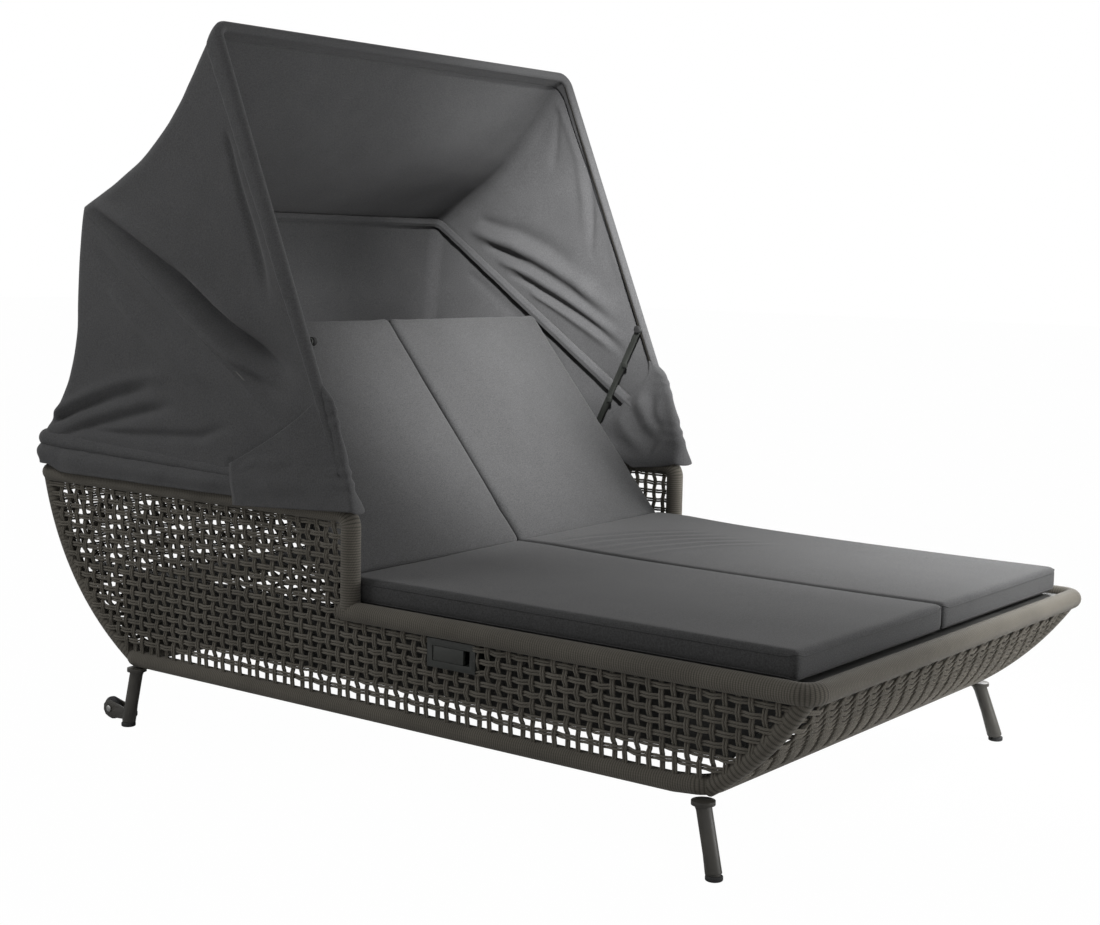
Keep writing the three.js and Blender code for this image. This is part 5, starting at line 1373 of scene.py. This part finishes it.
        # Its outline, low to high and front to rear
        hem = HEM_Z - 0.021 * outer - 0.022 * inner ** 0.5 - 0.006 * np.sin(np.pi * nose)
        top = FLAP_TOP - 0.193 * outer ** 0.8 - 0.208 * inner
        z = hem + (top - hem) * up
        front = np.interp(z, *zip(*FLAP_FRONT)) + nose * np.interp(z, (0.60, 0.72), (0.022, 0.006))
        rear_inner = 0.161 + 0.163 * np.clip((z - 0.570) / 0.080, 0, 1)
        y = np.where(place < 0, front + (FLAP_REAR - front) * outer, front + (rear_inner - front) * inner)
        # Its two sides lie close to the rail low down and to the hoops higher up
        low = eased(np.clip((z - 0.590) / 0.055, 0, 1))
        outer_x = (0.6575 - 0.0050 * low - 0.0080 * np.clip((z - 0.69) / 0.17, 0, 1)
                   + 0.0130 * np.clip(outer * 1.6, 0, 1) * low)
        inner_x = 0.6030 + 0.0200 * low + 0.007 * np.clip((z - 0.63) / 0.12, 0, 1)
        turn = math.pi * nose
        x = (outer_x + inner_x) / 2 + (outer_x - inner_x) / 2 * np.cos(turn)
        y = y - np.where((nose > 0) & (nose < 1), 0.010 * np.sin(turn), 0)
        # The drawn seam along its front edge
        ruffle = (np.sin(z * 150 + 2.3 * np.sin(z * 47)) * (0.4 + 0.6 * np.sin(z * 23 + side) ** 2)
                  * np.clip(1 - np.abs(place) * 5, 0, 1))
        y = y - 0.0016 * ruffle
        x = x + 0.0018 * ruffle * np.cos(turn)
        points = np.stack([x * side, y, z], -1)
        # Folds on both sides, which stay clear of the canopy stay
        stay_y = np.interp(z, (0.630, 0.945), (0.324, 0.170))
        clear = np.clip(np.abs(y - stay_y) / 0.05, 0, 1) * np.clip((1 - up) / 0.2, 0, 1)
        depth = sum(crease(y, z, *fold) for fold in INNER_FLAP_FOLDS) * np.clip(inner * 4, 0, 1) * clear
        depth = depth + sum(crease(y, z, *fold) for fold in OUTER_FLAP_FOLDS) * np.clip(outer * 4, 0, 1)
        depth = depth + (rippled(points, 16.0, 0.0030, side + 4.0) + 0.001) * np.clip(np.abs(place) * 5, 0, 1)
        points[..., 0] += side * np.where(place < 0, np.abs(depth) * (1 - low * 0.4), -np.abs(depth) * low)
        piece = cloth_piece(f"canopy_flap_{name}.cloth", points, settings.cloth, flip=side > 0)
        blended(piece, ("daybed", "middle_hoop"), *FLAP_BLEND, f"canopy_inner_flap_{name}")

    def execute(self, context):
        settings = context.scene.daybed_canopy
        self.gore(settings, "canopy_front_gore", FRONT_HOOP, MIDDLE_HOOP, settings.roof_sag,
                  ("middle_hoop", "front_hoop"))
        self.gore(settings, "canopy_rear_gore", MIDDLE_HOOP, REAR_HOOP, settings.rear_sag,
                  ("daybed", "middle_hoop"))
        self.front_sleeve(settings)
        self.middle_sleeve(settings)
        self.rear_roll(settings)
        self.skirt(settings)
        for name, side in SIDES.items():
            self.flap(settings, name, side)
        return {"FINISHED"}


class DAYBED_OT_hoops(bpy.types.Operator):
    """Finishes the hoops, their pivots, the stays and the knobs"""
    bl_idname = "daybed.hoops"
    bl_label = "Hoops and stays"

    def execute(self, context):
        for node, body in (("front_hoop", "front_hoop"), ("middle_hoop", "middle_hoop"), ("rear_hoop", "daybed")):
            stand_in(node, body, "hoop_metal", "powder coat", 0)
        for name in SIDES:
            stand_in(f"hoop_pivot_{name}", "daybed", "hoop_metal", "powder coat", 0.0008)
            stand_in(f"stay_bracket_{name}", "daybed", "hoop_metal", "powder coat", 0.0008)
            stand_in(f"canopy_stay_{name}", f"stay_{name}", "black_plastic", "moulded plastic", 0.0012)
            stand_in(f"stay_knob_{name}", f"knob_{name}", "rubber", "soft rubber", 0.0015, 3)
        return {"FINISHED"}


# Stage


WHITE = (1, 1, 1, 1)
SURROUNDINGS = 0.22
FLOOR_Z = -0.001
# Lamps as name, place, target, width, power and the cone of a spot lamp
LAMPS = (("right lamp", (1.35, -0.75, 0.85), (0, 0.1, 0.6), 0.7, 12),
         ("front lamp", (1.0, -3.3, 0.85), (0.1, -0.4, 0.5), 1.1, 36),
         ("top lamp", (-2.4, 1.8, 3.2), (-0.6, 0.4, 0.9), 1.6, 32),
         ("cushion spot", (1.0, -2.4, 2.4), (0.5, -0.95, 0.42), 0.5, 330, 30),
         ("canopy spot", (-2.0, -1.9, 2.8), (0.64, 0.32, 1.16), 0.3, 1550, 18),
         ("back spot", (0.2, -2.2, 1.9), (0.12, 0.30, 0.74), 0.4, 540, 22))
# The camera's place, its heading, pitch and roll in degrees, and its lens in millimetres
CAMERA_PLACE = (-3.3849, -2.5608, 1.1412)
CAMERA_TURNS = (-52.9978, 83.3796, 1.17)
CAMERA_LENS = 58.66


class DAYBED_OT_stage(bpy.types.Operator):
    """Sets the floor, the lamps, the surroundings and the camera"""
    bl_idname = "daybed.stage"
    bl_label = "Stage"

    def unseen_white(self, tree, shader):
        """White where the camera or a reflection looks, and the given shader for everything else."""
        path = add_node(tree, "ShaderNodeLightPath").outputs
        seen = maths(tree, "MAXIMUM", path["Is Camera Ray"], path["Is Glossy Ray"])
        seen = maths(tree, "MAXIMUM", seen, path["Is Transmission Ray"])
        white = add_node(tree, "ShaderNodeBackground", {"Color": WHITE, "Strength": 1.0})
        return add_node(tree, "ShaderNodeMixShader", {0: seen, 1: shader, 2: white.outputs[0]}).outputs[0]

    def lamp(self, name, place, target, size, power, cone=None):
        data = bpy.data.lights.new(name, "SPOT" if cone else "AREA")
        data.energy = power
        if cone:
            data.shadow_soft_size, data.spot_size, data.spot_blend = size / 2, math.radians(cone), 1.0
        else:
            data.shape, data.size = "DISK", size
        lamp = bpy.data.objects.new(name, data)
        lamp.visible_camera = False
        bpy.context.scene.collection.objects.link(lamp)
        lamp.location = place
        lamp.rotation_euler = (Vector(target) - Vector(place)).to_track_quat("-Z", "Y").to_euler()

    def backdrop(self):
        """Surroundings that look white and light the object evenly."""
        world = bpy.data.worlds.new("studio")
        bpy.context.scene.world = world
        world.use_nodes = True
        tree = world.node_tree
        tree.nodes.clear()
        around = add_node(tree, "ShaderNodeBackground", {"Color": WHITE, "Strength": SURROUNDINGS})
        add_node(tree, "ShaderNodeOutputWorld", {0: self.unseen_white(tree, around.outputs[0])})

    def floor(self):
        """A floor that looks nearly white to the camera and keeps the object's shadow."""
        corners = [(x, y, FLOOR_Z) for x, y in ((-30, -30), (30, -30), (30, 30), (-30, 30))]
        floor = mesh_object("floor", corners, [(0, 1, 2, 3)], None, False)
        material = bpy.data.materials.new("pale floor")
        material.use_nodes = True
        tree = material.node_tree
        tree.nodes.clear()
        pale = add_node(tree, "ShaderNodeBsdfDiffuse", {"Color": (0.85, 0.85, 0.85, 1)})
        bright = add_node(tree, "ShaderNodeEmission", {"Color": WHITE, "Strength": 1.0})
        path = add_node(tree, "ShaderNodeLightPath").outputs
        share = maths(tree, "MULTIPLY", path["Is Camera Ray"], 0.99)
        mix = add_node(tree, "ShaderNodeMixShader", {0: share, 1: pale.outputs[0], 2: bright.outputs[0]})
        add_node(tree, "ShaderNodeOutputMaterial", {0: mix.outputs[0]})
        floor.data.materials.append(material)

    def camera(self):
        data = bpy.data.cameras.new("camera")
        data.lens, data.sensor_width = CAMERA_LENS, 36.0
        data.dof.use_dof = False
        camera = bpy.data.objects.new("camera", data)
        bpy.context.scene.collection.objects.link(camera)
        heading, pitch, roll = (math.radians(angle) for angle in CAMERA_TURNS)
        turn = (Matrix.Rotation(heading, 4, "Z") @ Matrix.Rotation(pitch, 4, "X")
                @ Matrix.Rotation(roll, 4, "Z"))
        camera.matrix_world = Matrix.Translation(CAMERA_PLACE) @ turn
        bpy.context.scene.camera = camera

    def execute(self, context):
        context.scene.view_settings.view_transform = "Standard"
        self.backdrop()
        self.floor()
        for lamp in LAMPS:
            self.lamp(*lamp)
        self.camera()
        return {"FINISHED"}


STEPS = (DAYBED_OT_stage, DAYBED_OT_rails, DAYBED_OT_weave, DAYBED_OT_legs, DAYBED_OT_deck, DAYBED_OT_handles,
         DAYBED_OT_hoops, DAYBED_OT_canopy, DAYBED_OT_cushions)
SETTINGS = {"daybed_rope": RopeSettings, "daybed_cushion": CushionSettings, "daybed_canopy": CanopySettings,
            "daybed_finish": FinishSettings}


class DAYBED_PT_panel(bpy.types.Panel):
    """Lists the steps that build the daybed"""
    bl_label = "Daybed"
    bl_idname = "DAYBED_PT_panel"
    bl_space_type = "VIEW_3D"
    bl_region_type = "UI"
    bl_category = "Daybed"

    def draw(self, context):
        for group, kind in SETTINGS.items():
            box = self.layout.box()
            for label in kind.__annotations__:
                box.prop(getattr(context.scene, group), label)
        for step in STEPS:
            self.layout.operator(step.bl_idname)


CLASSES = (*SETTINGS.values(), *STEPS, DAYBED_PT_panel)


def register():
    for kind in CLASSES:
        bpy.utils.register_class(kind)
    for group, kind in SETTINGS.items():
        setattr(bpy.types.Scene, group, PointerProperty(type=kind))


def unregister():
    for group in SETTINGS:
        delattr(bpy.types.Scene, group)
    for kind in reversed(CLASSES):
        bpy.utils.unregister_class(kind)


def main():
    register()
    for step in STEPS:
        group, name = step.bl_idname.split(".")
        getattr(getattr(bpy.ops, group), name)()


if __name__ == "__main__":
    main()
